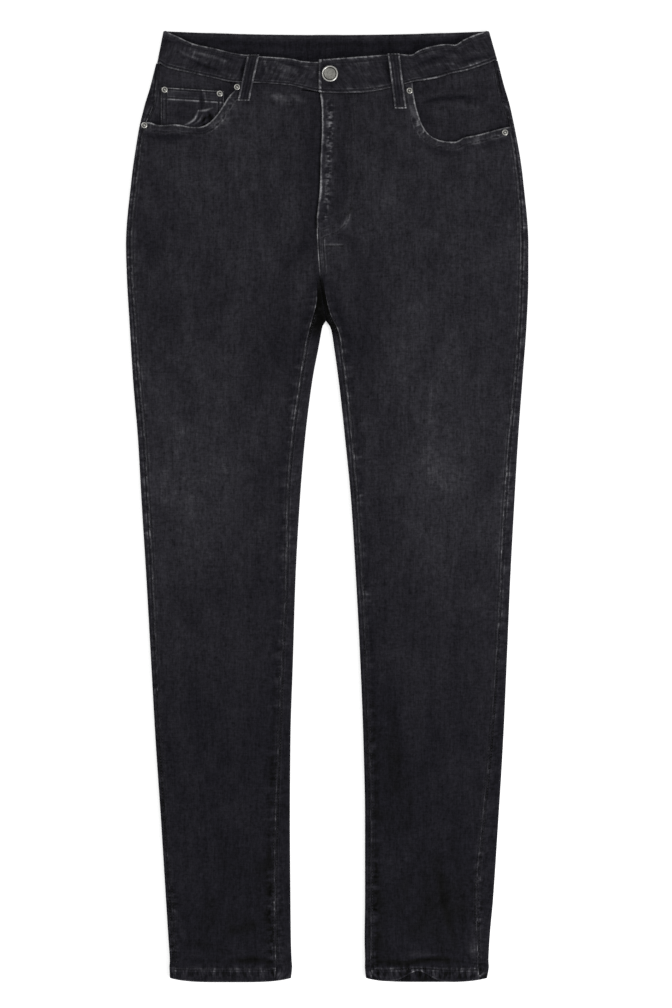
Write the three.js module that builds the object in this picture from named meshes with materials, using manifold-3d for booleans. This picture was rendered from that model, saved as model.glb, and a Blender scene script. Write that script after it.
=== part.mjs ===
// Straight leg jeans of washed charcoal stretch denim, laid flat on their back with the front up.
// Millimetres. X runs across with the wearer's left at +X, Y runs from the hems to the waist, and Z is up
// from the surface that the jeans lie on. The right leg is the wearer's right, at -X.
import * as THREE from 'three';
import { mergeVertices } from 'three/addons/utils/BufferGeometryUtils.js';
import Module from 'manifold-3d';

const wasm = await Module();
wasm.setup();

// Cloth walls and the gap kept where two pieces are sewn or lie on each other
const DENIM = 1.2;
const BAND_WALL = 2.2;
const HEM_WALL = 2.4;
const GAP = 0.3;
const HALF_GAP = GAP / 2;
const STACKED = DENIM + GAP;

// Folded edges of the laid tube, and how far in from them the front reaches its full height
const FOLD_REACH = 3.5;
const FOLD_SHARE = 0.92;
const FOLD_BULGE = 0.9;
const FOLD_STEPS = 5;
const DIP_REACH = 40;

// Lines across the garment
const CROTCH = 244.6;
const VALLEY = { from: 212.6, reach: 50 };
const RULED_FROM = 385;
const YOKE_SEAM = { side: 439, centre: 409, reach: 200 };
const HEM = { corner: -509, sag: 4.5, top: -495.5, step: 1.4 };
const HEM_LIFT = { x: 98, height: 12, reach: 17 };

// Fly: the left front laps over the right one, and both come to one level at the fly's foot
const LAP = { width: 9, from: 312, full: 330, levelFrom: 285, levelFull: 312 };
const FLY_DIP = { right: -1.0, left: 0.5, flat: 11, ramp: 26 };

// Waistband: half widths at its two edges, its middle height on the front, and the buttoned flap
const BAND = { low: 183.7, topRight: 176.8, topLeft: 174.7, foldReach: 3, foldHeight: 5.6, frontMiddle: 5.2 };
const FLAP = { end: -9.3, rise: 2.5, full: 27, ramp: 28 };
const UNDERLAP_END = 24.6;
const BACK_BAND = { low: 473.6, top: 509.2 };

// Button and buttonhole. The cap's rim and face are shares of its radius, at heights above its underside.
const BUTTON = { x: 3, y: 466.7, radius: 8.75, shank: 2.2, hole: 3.1, slot: 1.6, slotLength: 8 };
const BUTTON_SIDES = 28;
const BUTTON_CAP = [
  { share: 0.93, height: 0 },
  { share: 1, height: 0.6 },
  { share: 1, height: 1.3 },
  { share: 0.93, height: 1.9 },
  { share: 0.82, height: 2.0 },
  { share: 0.74, height: 1.5 },
  { share: 0.35, height: 1.7 },
  { share: 0, height: 1.8 },
];

// Rivets: a dished cap with a burr in its middle, and where each sits
const RIVET_SIDES = 14;
const RIVET_CAP = [
  { radius: 0, height: 0 },
  { radius: 2.7, height: 0 },
  { radius: 3.5, height: 0.4 },
  { radius: 3.4, height: 0.8 },
  { radius: 2.6, height: 1.2 },
  { radius: 1.5, height: 1.1 },
  { radius: 1.1, height: 1.6 },
  { radius: 0, height: 1.8 },
];
const RIVETS = [
  { name: 'rivet_right_pocket_top', x: -97.2, y: 452.6, on: 'front', tilt: 0 },
  { name: 'rivet_right_pocket_side', x: -197.2, y: 411.4, on: 'front', tilt: -3 },
  { name: 'rivet_coin_pocket_side', x: -175.3, y: 449.6, on: 'coin', tilt: 0 },
  { name: 'rivet_coin_pocket_centre', x: -115.9, y: 445.6, on: 'coin', tilt: 0 },
  { name: 'rivet_left_pocket_top', x: 88.9, y: 448.6, on: 'front', tilt: 0 },
  { name: 'rivet_left_pocket_side', x: 191.9, y: 403.6, on: 'front', tilt: 3 },
];

// Belt loops on the front lie over the band, and those on the back lie flat under it
const LOOP = { width: 12.6, bow: 1.1, backLow: 468.6, backTop: 508 };
const FRONT_LOOPS = [
  { name: 'belt_loop_front_right', topX: -79.6, topY: 487.4, lowX: -90.2, lowY: 438 },
  { name: 'belt_loop_front_left', topX: 71.6, topY: 488.6, lowX: 79.2, lowY: 429.5 },
];
const BACK_LOOPS = [
  { name: 'belt_loop_back_right', x: -120 },
  { name: 'belt_loop_back_centre', x: 0 },
  { name: 'belt_loop_back_left', x: 120 },
];

// Back pockets lie under the back panels, which rise over them
const BACK_POCKET = { x: 104, top: 372, width: 124, footWidth: 110, side: 106, point: 130 };
const UNDER_LIFT = STACKED;
const POCKET_EASE = { margin: 12, ramp: 16 };
const LOOP_EASE = { margin: 2.6, ramp: 8 };

// Front pocket facings under the front panels, and the coin pocket on the right one
const FACING = { right: { x: -82, low: 397 }, left: { x: 78, low: 380 } };
const FACING_DROP = { under: STACKED, inside: 0.9, riseFrom: 9, rise: 26 };
const COIN = { sideX: -179.5, centreX: -111.5, low: 400, sideTop: 452.4, centreTop: 448.2 };
const COIN_EASE = { margin: 4, ramp: 12 };

// Zip under the lap: tape, chain and slider with its tab
const ZIP = { x: -2, low: 318, top: 442, tape: 28, tapeLow: 1.5, tapeWall: 0.8 };
const CHAIN = { width: 5, wall: 0.8, top: 428 };
const SLIDER = { low: 429, top: 440, width: 7, floor: 2.6, roof: 3.8, tab: 5, tabLength: 16, tabWall: 0.4 };

const sections = (names, rows) => {
  const columns = Object.fromEntries(names.map((name, i) => [name, rows.map((row) => row[i])]));
  const places = columns[names[0]];
  return { at: (name, place) => readSmooth(places, columns[name], place) };
};

// Total height of the laid garment at its folded edges and between them
const LAY = sections(['y', 'edge', 'middle'], [
  [-514, 5.4, 5.6],
  [-494, 5.4, 5.6],
  [-466, 4.6, 5.4],
  [-100, 4.8, 5.9],
  [150, 5.2, 6.2],
  [300, 5.6, 6.3],
  [450, 5.6, 6.3],
  [480, 5.6, 6.1],
]);

// Folded outer edge and side seam of each half, from the hem to the waistband
const RIGHT_SIDE = sections(['y', 'outer', 'outseam'], [
  [-510, -169.8, -165.2],
  [-496, -170.4, -164.6],
  [-492, -170.0, -164.6],
  [-468, -171.4, -166.0],
  [-425, -174.1, -168.7],
  [-339, -179.5, -174.1],
  [-252, -185.4, -179.5],
  [-166, -190.3, -184.4],
  [-79, -195.2, -188.1],
  [7, -200.6, -193.0],
  [72, -204.3, -196.8],
  [137, -209.7, -202.7],
  [200, -213.6, -207.0],
  [245, -216.2, -210.2],
  [282, -217.3, -211.4],
  [353, -211.4, -205.4],
  [390, -206.2, -201.1],
  [410, -202.8, -197.0],
  [425, -199.2, -190.6],
  [435, -196.6, -187.0],
  [450, -191.9, -184.9],
  [478, -184.7, -181.6],
  [482, -183.6, -180.6],
]);
const LEFT_SIDE = sections(['y', 'outer', 'outseam'], [
  [-510, 172.4, 164.4],
  [-496, 174.6, 163.0],
  [-492, 174.2, 162.9],
  [-468, 175.3, 162.3],
  [-425, 179.1, 161.2],
  [-339, 184.8, 168.0],
  [-252, 190.1, 176.4],
  [-166, 194.0, 182.6],
  [-79, 197.7, 187.2],
  [7, 202.3, 191.5],
  [72, 206.1, 196.3],
  [137, 210.9, 202.3],
  [200, 215.5, 206.9],
  [245, 217.2, 208.4],
  [282, 217.3, 209.3],
  [353, 211.5, 205.5],
  [374, 208.8, 203.0],
  [397, 204.8, 199.6],
  [420, 200.1, 195.0],
  [435, 196.7, 189.6],
  [454, 191.0, 184.6],
  [478, 184.8, 180.2],
  [482, 183.7, 179.2],
]);

// Inseam and folded inner edge of each leg, from the hem to the crotch. From 200 up the two legs touch.
const RIGHT_INNER = sections(['y', 'inseam', 'inner'], [
  [-510, -56.2, -39.2],
  [-496, -55.4, -37.8],
  [-492, -55.3, -38.2],
  [-468, -55.8, -39.1],
  [-425, -56.7, -39.6],
  [-339, -55.3, -40.2],
  [-252, -52.1, -39.6],
  [-166, -48.8, -36.9],
  [-79, -44.5, -34.2],
  [7, -42.9, -29.4],
  [72, -38.0, -24.0],
  [137, -28.8, -15.9],
  [174, -22.9, -8.9],
  [188, -19.7, -6.4],
  [196, -17.7, -4.6],
  [200.3, -16.4, -1.5],
  [211, -13.4, -3.3],
  [223, -11.0, -5.3],
  [244.6, -10.4, -7.95],
]);
const LEFT_INNER = sections(['y', 'inseam', 'inner'], [
  [-510, 48.2, 42.0],
  [-496, 47.4, 40.6],
  [-492, 47.3, 40.8],
  [-468, 47.0, 40.3],
  [-425, 46.8, 40.8],
  [-339, 47.3, 40.8],
  [-252, 45.1, 39.0],
  [-166, 42.4, 35.6],
  [-79, 37.6, 31.1],
  [7, 32.2, 25.7],
  [72, 26.8, 19.4],
  [137, 19.8, 12.2],
  [174, 15.0, 7.1],
  [188, 12.2, 4.9],
  [196, 9.0, 2.3],
  [200.3, 6.3, -1.2],
  [211, 2.2, -3.0],
  [223, -0.8, -5.0],
  [244.6, -5.2, -7.65],
]);

// Front fly edge and back seat seam above the crotch
const CENTRE = sections(['y', 'fly', 'seat'], [
  [244.6, -7.8, -7.8],
  [266, -9.6, -5.4],
  [290, -11.0, -3.0],
  [308, -11.3, -1.8],
  [323, -9.9, -0.8],
  [344, -7.8, -0.2],
  [376, -7.0, -0.2],
  [406, -5.6, -0.2],
  [425, -5.6, -0.2],
  [447, -7.8, -0.2],
]);

// Front of the waistband: height of its seam with the fronts and of its top edge
const BAND_RIGHT = sections(['x', 'seam', 'top'], [
  [-183.7, 478.4, 513.3],
  [-171, 473.1, 508.7],
  [-148, 467.9, 499.0],
  [-127, 463.3, 494.6],
  [-100, 457.8, 488.7],
  [-75, 456.9, 486.0],
  [-42, 454.6, 483.6],
  [-27, 451.6, 480.6],
  [-9, 447.8, 479.7],
  [25, 447.2, 480.1],
]);
const BAND_LEFT = sections(['x', 'seam', 'top'], [
  [-9.4, 447.1, 482.2],
  [12, 445.8, 483.6],
  [38, 446.6, 485.5],
  [60, 449.6, 487.3],
  [83, 455.2, 488.3],
  [95, 458.8, 487.5],
  [104.5, 460.0, 492.5],
  [120, 462.8, 497.1],
  [135, 467.4, 499.1],
  [144.5, 469.3, 498.4],
  [155, 471.9, 503.8],
  [171, 477.5, 510.3],
  [183.7, 481.5, 513.3],
]);

const point = (x, y) => new THREE.Vector2(x, y);
const RIGHT_MOUTH = new THREE.SplineCurve([
  point(-97, 484),
  point(-97, 455),
  point(-107, 441.3),
  point(-120, 421.5),
  point(-133, 410.8),
  point(-147, 409.8),
  point(-163, 412.4),
  point(-181, 411.6),
  point(-192, 414.8),
  point(-200, 413.4),
]);
const LEFT_MOUTH = new THREE.SplineCurve([
  point(91.6, 484),
  point(92.6, 452),
  point(96.8, 428.4),
  point(105, 407.5),
  point(118, 396.5),
  point(137.5, 393.6),
  point(148, 398.4),
  point(162, 401),
  point(188, 408),
  point(202, 410.8),
]);
const MOUTH_STEPS = 26;

// Places clear of the garment, for the shapes that are cut away from it
const BEYOND = 240;
const BEYOND_BAND = 520;
const BEYOND_WAIST = 720;

const RIGHT = {
  sign: -1,
  name: 'right',
  side: RIGHT_SIDE,
  inner: RIGHT_INNER,
  band: BAND_RIGHT,
  mouth: RIGHT_MOUTH,
};
const LEFT = {
  sign: 1,
  name: 'left',
  side: LEFT_SIDE,
  inner: LEFT_INNER,
  band: BAND_LEFT,
  mouth: LEFT_MOUTH,
};

// Reads a column between its rows by a cubic that never overshoots them
function readSmooth(places, values, place) {
  const last = places.length - 1;
  if (place <= places[0]) return values[0];
  if (place >= places[last]) return values[last];
  const row = places.findIndex((next) => place < next) - 1;
  const slope = (i) => (values[i + 1] - values[i]) / (places[i + 1] - places[i]);
  const tangent = (i) => {
    if (i === 0) return slope(0);
    if (i === last) return slope(last - 1);
    const product = slope(i - 1) * slope(i);
    return product <= 0 ? 0 : (2 * product) / (slope(i - 1) + slope(i));
  };
  const width = places[row + 1] - places[row];
  const t = (place - places[row]) / width;
  const rest = 1 - t;
  return values[row] * (1 + 2 * t) * rest * rest
    + values[row + 1] * t * t * (3 - 2 * t)
    + tangent(row) * width * t * rest * rest
    - tangent(row + 1) * width * t * t * rest;
}

function lerp(from, to, t) {
  return from + (to - from) * t;
}

function smooth(t) {
  const held = Math.min(1, Math.max(0, t));
  return held * held * (3 - 2 * held);
}

// Evenly spaced numbers from one value to another, both ends included
function spread(from, to, steps) {
  return Array.from({ length: steps + 1 }, (_, i) => lerp(from, to, i / steps));
}

// How far the cloth of the underside is lifted by the pockets and loops that lie beneath it
function underLift(x, y) {
  const pocketMiddle = BACK_POCKET.top - BACK_POCKET.point / 2;
  const loopTall = BEYOND_BAND - LOOP.backLow;
  const beneath = [
    ...[-1, 1].map((sign) => ({
      x: sign * BACK_POCKET.x,
      y: pocketMiddle,
      wide: BACK_POCKET.width,
      tall: BACK_POCKET.point,
      ease: POCKET_EASE,
    })),
    ...BACK_LOOPS.map((loop) => ({
      x: backLoopX(loop, y),
      y: LOOP.backLow + loopTall / 2,
      wide: LOOP.width,
      tall: loopTall,
      ease: LOOP_EASE,
    })),
  ];
  const lifts = beneath.map((trim) => {
    const away = Math.max(Math.abs(x - trim.x) - trim.wide / 2, Math.abs(y - trim.y) - trim.tall / 2, 0);
    return 1 - smooth((away - trim.ease.margin) / trim.ease.ramp);
  });
  return UNDER_LIFT * Math.max(...lifts);
}

// Height of the front's upper face: lower by the folded edges, and by the valley below the crotch
function layHeight(leg, x, y) {
  const fromSide = Math.abs(x - leg.side.at('outer', y));
  const fromInner = Math.abs(x - leg.inner.at('inner', y));
  const valley = 1 - smooth((y - VALLEY.from) / VALLEY.reach);
  const dip = Math.max(1 - smooth(fromSide / DIP_REACH), valley * (1 - smooth(fromInner / DIP_REACH)));
  return lerp(LAY.at('middle', y), LAY.at('edge', y), dip);
}

// The right front dips under the fly and the left one rises over it
function flyShift(leg, x, y) {
  const away = Math.abs(x - CENTRE.at('fly', y));
  const near = 1 - smooth((away - FLY_DIP.flat) / FLY_DIP.ramp);
  const level = smooth((y - LAP.levelFrom) / (LAP.levelFull - LAP.levelFrom));
  return FLY_DIP[leg.name] * near * level * (y > CROTCH ? 1 : 0);
}

function hemEdge(leg, x, lifted) {
  const outer = leg.side.at('outer', HEM.corner);
  const inner = leg.inner.at('inner', HEM.corner);
  const across = (x - (outer + inner) / 2) / (Math.abs(outer - inner) / 2);
  const lift = lifted ? HEM_LIFT.height * Math.exp(-(((x - HEM_LIFT.x) / HEM_LIFT.reach) ** 2)) : 0;
  return HEM.corner - HEM.sag * (1 - across ** 4) + lift;
}

// A row of a panel's grid: its nominal height, its wall, and its real height at each x
function straightRow(y, wall = DENIM) {
  return { level: y, wall, reach: () => y };
}

function hemRows(leg, lifted) {
  return [
    { level: HEM.corner, wall: HEM_WALL, reach: (x) => hemEdge(leg, x, lifted) },
    straightRow(HEM.top, HEM_WALL),
    straightRow(HEM.top + HEM.step),
  ];
}

const LEG_LEVELS = [
  -468, -425, -382, -339, -296, -252, -209, -166, -123, -79, -36, 7, 40, 72, 105, 137, 160, 174, 188,
];
const FORK_LEVELS = [196, 200.3, 211, 223, 234];
const FRONT_LEVELS = [CROTCH + 3, 266, LAP.levelFrom, LAP.from, LAP.full, 350, 368, RULED_FROM];
const BACK_LEVELS = [264, 285, 308, 335, 355, 372, RULED_FROM];
const FRONT_RULES = [0.3, 0.6, 0.82, 1];
const BACK_RULES = [0.5, 1];
const YOKE_RULES = [0, 0.35, 0.7, 0.9, 1];

// Rows that run evenly from one line to another, such as from a straight level up to a curved seam
function ruledRows(from, to, shares) {
  return shares.map((share) => ({
    level: lerp(from(0), to(0), share),
    wall: DENIM,
    reach: (x) => lerp(from(x), to(x), share),
  }));
}

function waistSeam(leg, x) {
  return leg.band.at('seam', x) - HALF_GAP;
}

function yokeSeam(x) {
  return lerp(YOKE_SEAM.centre, YOKE_SEAM.side, Math.abs(x) / YOKE_SEAM.reach);
}

// Seam or top edge of the waistband on the back, from its height at the centre to that at the side folds
function backBandLine(centre, edge, x) {
  const band = x < 0 ? BAND_RIGHT : BAND_LEFT;
  return lerp(centre, band.at(edge, Math.sign(x) * BAND.low), (x / BAND.low) ** 2);
}

// The band leans in from its seam to its top edge
function bandTopX(x) {
  return x * ((x < 0 ? BAND.topRight : BAND.topLeft) / BAND.low);
}

// Middle line of a back belt loop, which leans as the band does
function backLoopX(loop, y) {
  return lerp(loop.x, bandTopX(loop.x), (y - BACK_BAND.low) / (BACK_BAND.top - BACK_BAND.low));
}

// Lays each row of the grid along its line, column by column
function layGrid(rows, columns) {
  return rows.map((row) => columns.map((column) => {
    const guess = column(row.level, row.wall);
    const nearer = column(row.reach(guess.x), row.wall);
    return column(row.reach(nearer.x), row.wall);
  }));
}

// Turns a grid of middle points into a closed wall of cloth. live(row, column) says which cells are cloth.
function clothWall(grid, walls, live = () => true) {
  const rows = grid.length;
  const columns = grid[0].length;
  const cell = (r, c) => r >= 0 && c >= 0 && r < rows - 1 && c < columns - 1 && live(r, c);
  const normals = grid.map((row) => row.map(() => new THREE.Vector3()));
  const used = grid.map((row) => row.map(() => false));
  for (let r = 0; r < rows - 1; r += 1) {
    for (let c = 0; c < columns - 1; c += 1) {
      if (!cell(r, c)) continue;
      const along = new THREE.Vector3().subVectors(grid[r + 1][c + 1], grid[r][c]);
      const across = new THREE.Vector3().subVectors(grid[r][c + 1], grid[r + 1][c]);
      const normal = new THREE.Vector3().crossVectors(across, along).normalize();
      for (const [i, j] of [[r, c], [r, c + 1], [r + 1, c], [r + 1, c + 1]]) {
        normals[i][j].add(normal);
        used[i][j] = true;
      }
    }
  }
  const positions = [];
  const outside = grid.map((row) => row.map(() => -1));
  const inside = grid.map((row) => row.map(() => -1));
  for (let r = 0; r < rows; r += 1) {
    for (let c = 0; c < columns; c += 1) {
      if (!used[r][c]) continue;
      const reach = normals[r][c].normalize().multiplyScalar(walls[r] / 2);
      outside[r][c] = positions.push(new THREE.Vector3().addVectors(grid[r][c], reach)) - 1;
      inside[r][c] = positions.push(new THREE.Vector3().subVectors(grid[r][c], reach)) - 1;
    }
  }
  const faces = [];
  const quad = (a, b, c, d) => faces.push([a, b, c], [a, c, d]);
  for (let r = 0; r < rows - 1; r += 1) {
    for (let c = 0; c < columns - 1; c += 1) {
      if (!cell(r, c)) continue;
      quad(outside[r][c], outside[r][c + 1], outside[r + 1][c + 1], outside[r + 1][c]);
      quad(inside[r][c], inside[r + 1][c], inside[r + 1][c + 1], inside[r][c + 1]);
      const rim = (r0, c0, r1, c1) => quad(outside[r0][c0], inside[r0][c0], inside[r1][c1], outside[r1][c1]);
      if (!cell(r - 1, c)) rim(r, c, r, c + 1);
      if (!cell(r + 1, c)) rim(r + 1, c + 1, r + 1, c);
      if (!cell(r, c - 1)) rim(r + 1, c, r, c);
      if (!cell(r, c + 1)) rim(r, c + 1, r + 1, c + 1);
    }
  }
  return closedGeometry(positions, faces);
}

// A geometry from points and faces, turned so that its faces point out
function closedGeometry(positions, faces) {
  const volume = faces.reduce((sum, [a, b, c]) => {
    const corner = new THREE.Vector3().crossVectors(positions[b], positions[c]);
    return sum + positions[a].dot(corner);
  }, 0);
  const ordered = volume > 0 ? faces : faces.map(([a, b, c]) => [a, c, b]);
  const geometry = new THREE.BufferGeometry();
  const numbers = positions.flatMap((position) => position.toArray());
  geometry.setAttribute('position', new THREE.Float32BufferAttribute(numbers, 3));
  geometry.setIndex(ordered.flat());
  geometry.computeVertexNormals();
  return geometry;
}

const MERGE_REACH = 1e-4;

function toSolid(geometry) {
  const bare = geometry.clone();
  bare.deleteAttribute('normal');
  bare.deleteAttribute('uv');
  const merged = mergeVertices(bare, MERGE_REACH);
  return new wasm.Manifold(new wasm.Mesh({
    numProp: 3,
    vertProperties: new Float32Array(merged.attributes.position.array),
    triVerts: new Uint32Array(merged.index.array),
  }));
}

function fromSolid(solid) {
  const mesh = solid.getMesh();
  const geometry = new THREE.BufferGeometry();
  geometry.setAttribute('position', new THREE.BufferAttribute(new Float32Array(mesh.vertProperties), 3));
  geometry.setIndex(new THREE.BufferAttribute(new Uint32Array(mesh.triVerts), 1));
  geometry.computeVertexNormals();
  return geometry;
}

// An upright prism on an outline, from one height to another
const PRISM_CURVE_STEPS = 8;

function prism(outline, low, high) {
  const shape = { depth: high - low, bevelEnabled: false, curveSegments: PRISM_CURVE_STEPS };
  return new THREE.ExtrudeGeometry(outline, shape).translate(0, 0, low);
}

// A turned piece from radius and height pairs that start and end on its axis
function turned(profile, sides) {
  const geometry = new THREE.LatheGeometry(profile.map(([radius, height]) => point(radius, height)), sides);
  return geometry.rotateX(Math.PI / 2);
}

// Inseam edge of a front panel below the crotch, and its fly edge above
function frontInnerEdge(leg, y) {
  if (y <= CROTCH) return leg.inner.at('inseam', y) + leg.sign * HALF_GAP;
  const lap = leg.sign < 0 ? LAP.width * smooth((y - LAP.from) / (LAP.full - LAP.from)) : 0;
  return CENTRE.at('fly', y) + leg.sign * HALF_GAP + lap;
}

// Columns of a front panel, from its side seam to its inner edge
const FRONT_SHARES = [0, 0.03, 0.1, 0.2, 0.32, 0.45, 0.57, 0.69, 0.8, 0.88, 0.94, 1];

function frontColumns(leg) {
  return FRONT_SHARES.map((share) => (y, wall) => {
    const seam = leg.side.at('outseam', y) - leg.sign * HALF_GAP;
    const x = lerp(seam, frontInnerEdge(leg, y), share);
    return new THREE.Vector3(x, y, layHeight(leg, x, y) - wall / 2 + flyShift(leg, x, y));
  });
}

// What a pocket mouth cuts away: from its curve out past the side and up past the waist
function mouthOutline(leg) {
  const side = leg.sign * BEYOND;
  const curve = leg.mouth.getPoints(MOUTH_STEPS);
  return new THREE.Shape([
    ...curve,
    point(side, curve.at(-1).y),
    point(side, BEYOND_WAIST),
    point(curve[0].x, BEYOND_WAIST),
  ]);
}

function frontPanel(leg) {
  const rows = [
    ...hemRows(leg, leg === LEFT),
    ...[...LEG_LEVELS, ...FORK_LEVELS, CROTCH, ...FRONT_LEVELS].map((y) => straightRow(y)),
    ...ruledRows(() => RULED_FROM, (x) => waistSeam(leg, x), FRONT_RULES),
  ];
  const panel = clothWall(layGrid(rows, frontColumns(leg)), rows.map((row) => row.wall));
  const mouth = prism(mouthOutline(leg), -DENIM, BEYOND);
  return fromSolid(toSolid(panel).subtract(toSolid(mouth)));
}

// Half an ellipse round a folded edge, from the upper face down to the lower one
function foldColumns(edgeAt, seamAt, heightAt, sign, angles) {
  return angles.map((angle) => (y, wall) => {
    const edge = edgeAt(y);
    const reach = Math.min(FOLD_REACH, FOLD_SHARE * Math.abs(edge - seamAt(y)));
    const low = wall / 2;
    const rise = (heightAt(edge - sign * reach, y) - wall) / 2;
    const bulge = Math.min(reach - wall / 2, (FOLD_BULGE * rise * rise) / low);
    const centre = edge - sign * (bulge + wall / 2);
    return new THREE.Vector3(centre + sign * bulge * Math.cos(angle), y, low + rise + rise * Math.sin(angle));
  });
}

const FOLD_DOWN = spread(Math.PI / 2, -Math.PI / 2, FOLD_STEPS);
const FOLD_UP = [...FOLD_DOWN].reverse();
const UNDER_SHARES = [0.05, 0.15, 0.4, 0.64, 0.86, 0.93];

function outerFold(leg) {
  const outer = (y) => leg.side.at('outer', y);
  const seam = (y) => leg.side.at('outseam', y);
  return foldColumns(outer, seam, (x, y) => layHeight(leg, x, y), leg.sign, FOLD_DOWN);
}

function innerFold(leg) {
  const inner = (y) => leg.inner.at('inner', y);
  const seam = (y) => leg.inner.at('inseam', y);
  return foldColumns(inner, seam, (x, y) => layHeight(leg, x, y), -leg.sign, FOLD_UP);
}

// Edge of the back where it meets the front, at a seam on top of the laid leg
function seamColumn(leg, seamAt) {
  return (y, wall) => {
    const x = seamAt(y);
    return new THREE.Vector3(x, y, layHeight(leg, x, y) - wall / 2);
  };
}

function outseamColumn(leg) {
  return seamColumn(leg, (y) => leg.side.at('outseam', y) + leg.sign * HALF_GAP);
}

function underPoint(x, y, wall) {
  return new THREE.Vector3(x, y, wall / 2 + underLift(x, y));
}

function backPanel(leg) {
  const outer = outerFold(leg);
  const inner = innerFold(leg);
  const seatAt = (y) => CENTRE.at('seat', y) + leg.sign * HALF_GAP;
  const seatStart = (y, wall) => (y <= CROTCH ? inner[0](y, wall) : underPoint(seatAt(y), y, wall));
  const under = UNDER_SHARES.map((share) => (y, wall) => {
    const from = outer[FOLD_STEPS](y, wall).x;
    return underPoint(lerp(from, seatStart(y, wall).x, share), y, wall);
  });
  const inseam = seamColumn(leg, (y) => leg.inner.at('inseam', y) - leg.sign * HALF_GAP);
  const columns = [outseamColumn(leg), ...outer, ...under, seatStart, ...inner.slice(1), inseam];
  const levels = [...LEG_LEVELS, ...FORK_LEVELS, CROTCH, ...BACK_LEVELS];
  const rows = [
    ...hemRows(leg, false),
    ...levels.map((y) => straightRow(y)),
    ...ruledRows(() => RULED_FROM, (x) => yokeSeam(x) - HALF_GAP, BACK_RULES),
  ];
  const crotchRow = rows.findIndex((row) => row.level === CROTCH);
  const forkColumn = columns.indexOf(seatStart);
  const live = (r, c) => c < forkColumn || r < crotchRow;
  return clothWall(layGrid(rows, columns), rows.map((row) => row.wall), live);
}

// Places beside a back belt loop where the cloth above it starts and ends its lift
function besideLoop(x) {
  const near = LOOP.width / 2 + LOOP_EASE.margin;
  const far = near + LOOP_EASE.ramp;
  return [x + far, x + near, x - near, x - far];
}

// Yoke: from the back panel's top edge to the waistband, and round the side to the facing's seam
const YOKE_PLACES = { side: 164, middle: [80, 48] };

function yoke(leg) {
  const outer = outerFold(leg);
  const sideLoop = BACK_LOOPS.at(-1).x;
  const [far, near] = besideLoop(0);
  const places = [YOKE_PLACES.side, ...besideLoop(sideLoop), ...YOKE_PLACES.middle, far, near];
  const under = places.map((place) => (y, wall) => underPoint(leg.sign * place, y, wall));
  const seat = (y, wall) => underPoint(CENTRE.at('seat', y) + leg.sign * HALF_GAP, y, wall);
  const columns = [outseamColumn(leg), ...outer, ...under, seat];
  const top = (x) => backBandLine(BACK_BAND.low, 'seam', x) - HALF_GAP;
  const rows = ruledRows((x) => yokeSeam(x) + HALF_GAP, top, YOKE_RULES);
  return clothWall(layGrid(rows, columns), rows.map((row) => row.wall));
}

// Waistband: one strip from the buttonhole flap on the left front, round the back, to the underlap
function bandFrontHeight(leg, x) {
  const inward = smooth((BAND.low - Math.abs(x)) / DIP_REACH);
  const flap = leg === LEFT ? FLAP.rise * (1 - smooth((x - FLAP.full) / FLAP.ramp)) : 0;
  return lerp(BAND.foldHeight - BAND_WALL / 2, BAND.frontMiddle, inward) + flap;
}

function bandFrontColumn(leg, x) {
  return (share) => new THREE.Vector3(
    lerp(x, bandTopX(x), share),
    lerp(leg.band.at('seam', x) + HALF_GAP, leg.band.at('top', x), share),
    bandFrontHeight(leg, x),
  );
}

function bandBackColumn(x) {
  return (share) => {
    const low = backBandLine(BACK_BAND.low, 'seam', x) + HALF_GAP;
    const top = backBandLine(BACK_BAND.top, 'top', x);
    return underPoint(lerp(x, bandTopX(x), share), lerp(low, top, share), BAND_WALL);
  };
}

function bandFoldColumns(leg, angles) {
  const rise = (BAND.foldHeight - BAND_WALL) / 2;
  const bulge = BAND.foldReach - BAND_WALL / 2;
  const edge = leg.sign * BAND.low;
  return angles.map((angle) => (share) => new THREE.Vector3(
    lerp(edge, bandTopX(edge), share) - leg.sign * (BAND.foldReach - bulge * Math.cos(angle)),
    lerp(leg.band.at('seam', edge) + HALF_GAP, leg.band.at('top', edge), share),
    BAND_WALL / 2 + rise + rise * Math.sin(angle),
  ));
}

const BAND_ROWS = [0, 0.5, 1];
const BAND_FRONT_STEPS = 16;
const BAND_INSET = 8;
const BAND_BACK_PLACES = [160, 80, 50];

function buttonhole() {
  const hole = new THREE.Shape();
  const slotAngle = Math.asin(BUTTON.slot / 2 / BUTTON.hole);
  hole.absarc(BUTTON.x, BUTTON.y, BUTTON.hole, slotAngle, 2 * Math.PI - slotAngle, false);
  hole.lineTo(BUTTON.x + BUTTON.slotLength, BUTTON.y - BUTTON.slot / 2);
  hole.lineTo(BUTTON.x + BUTTON.slotLength, BUTTON.y + BUTTON.slot / 2);
  return hole;
}

function waistband() {
  const loopPlaces = BACK_LOOPS.flatMap((loop) => besideLoop(loop.x));
  const between = BAND_BACK_PLACES.flatMap((x) => [x, -x]);
  const backPlaces = [...loopPlaces, ...between].sort((a, b) => b - a);
  const columns = [
    ...spread(FLAP.end, BAND.low - BAND_INSET, BAND_FRONT_STEPS).map((x) => bandFrontColumn(LEFT, x)),
    ...bandFoldColumns(LEFT, FOLD_DOWN),
    ...backPlaces.map((x) => bandBackColumn(x)),
    ...bandFoldColumns(RIGHT, FOLD_UP),
    ...spread(BAND_INSET - BAND.low, UNDERLAP_END, BAND_FRONT_STEPS).map((x) => bandFrontColumn(RIGHT, x)),
  ];
  const grid = BAND_ROWS.map((share) => columns.map((column) => column(share)));
  const band = clothWall(grid, BAND_ROWS.map(() => BAND_WALL));
  const flapFloor = bandFrontHeight(LEFT, BUTTON.x) - BAND_WALL / 2;
  const cut = prism(buttonhole(), flapFloor - HALF_GAP, BEYOND);
  return fromSolid(toSolid(band).subtract(toSolid(cut)));
}

// Facing of a front pocket: it runs under the front panel and rises a little inside the mouth
const FACING_STEPS = { across: 12, up: 8 };

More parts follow.
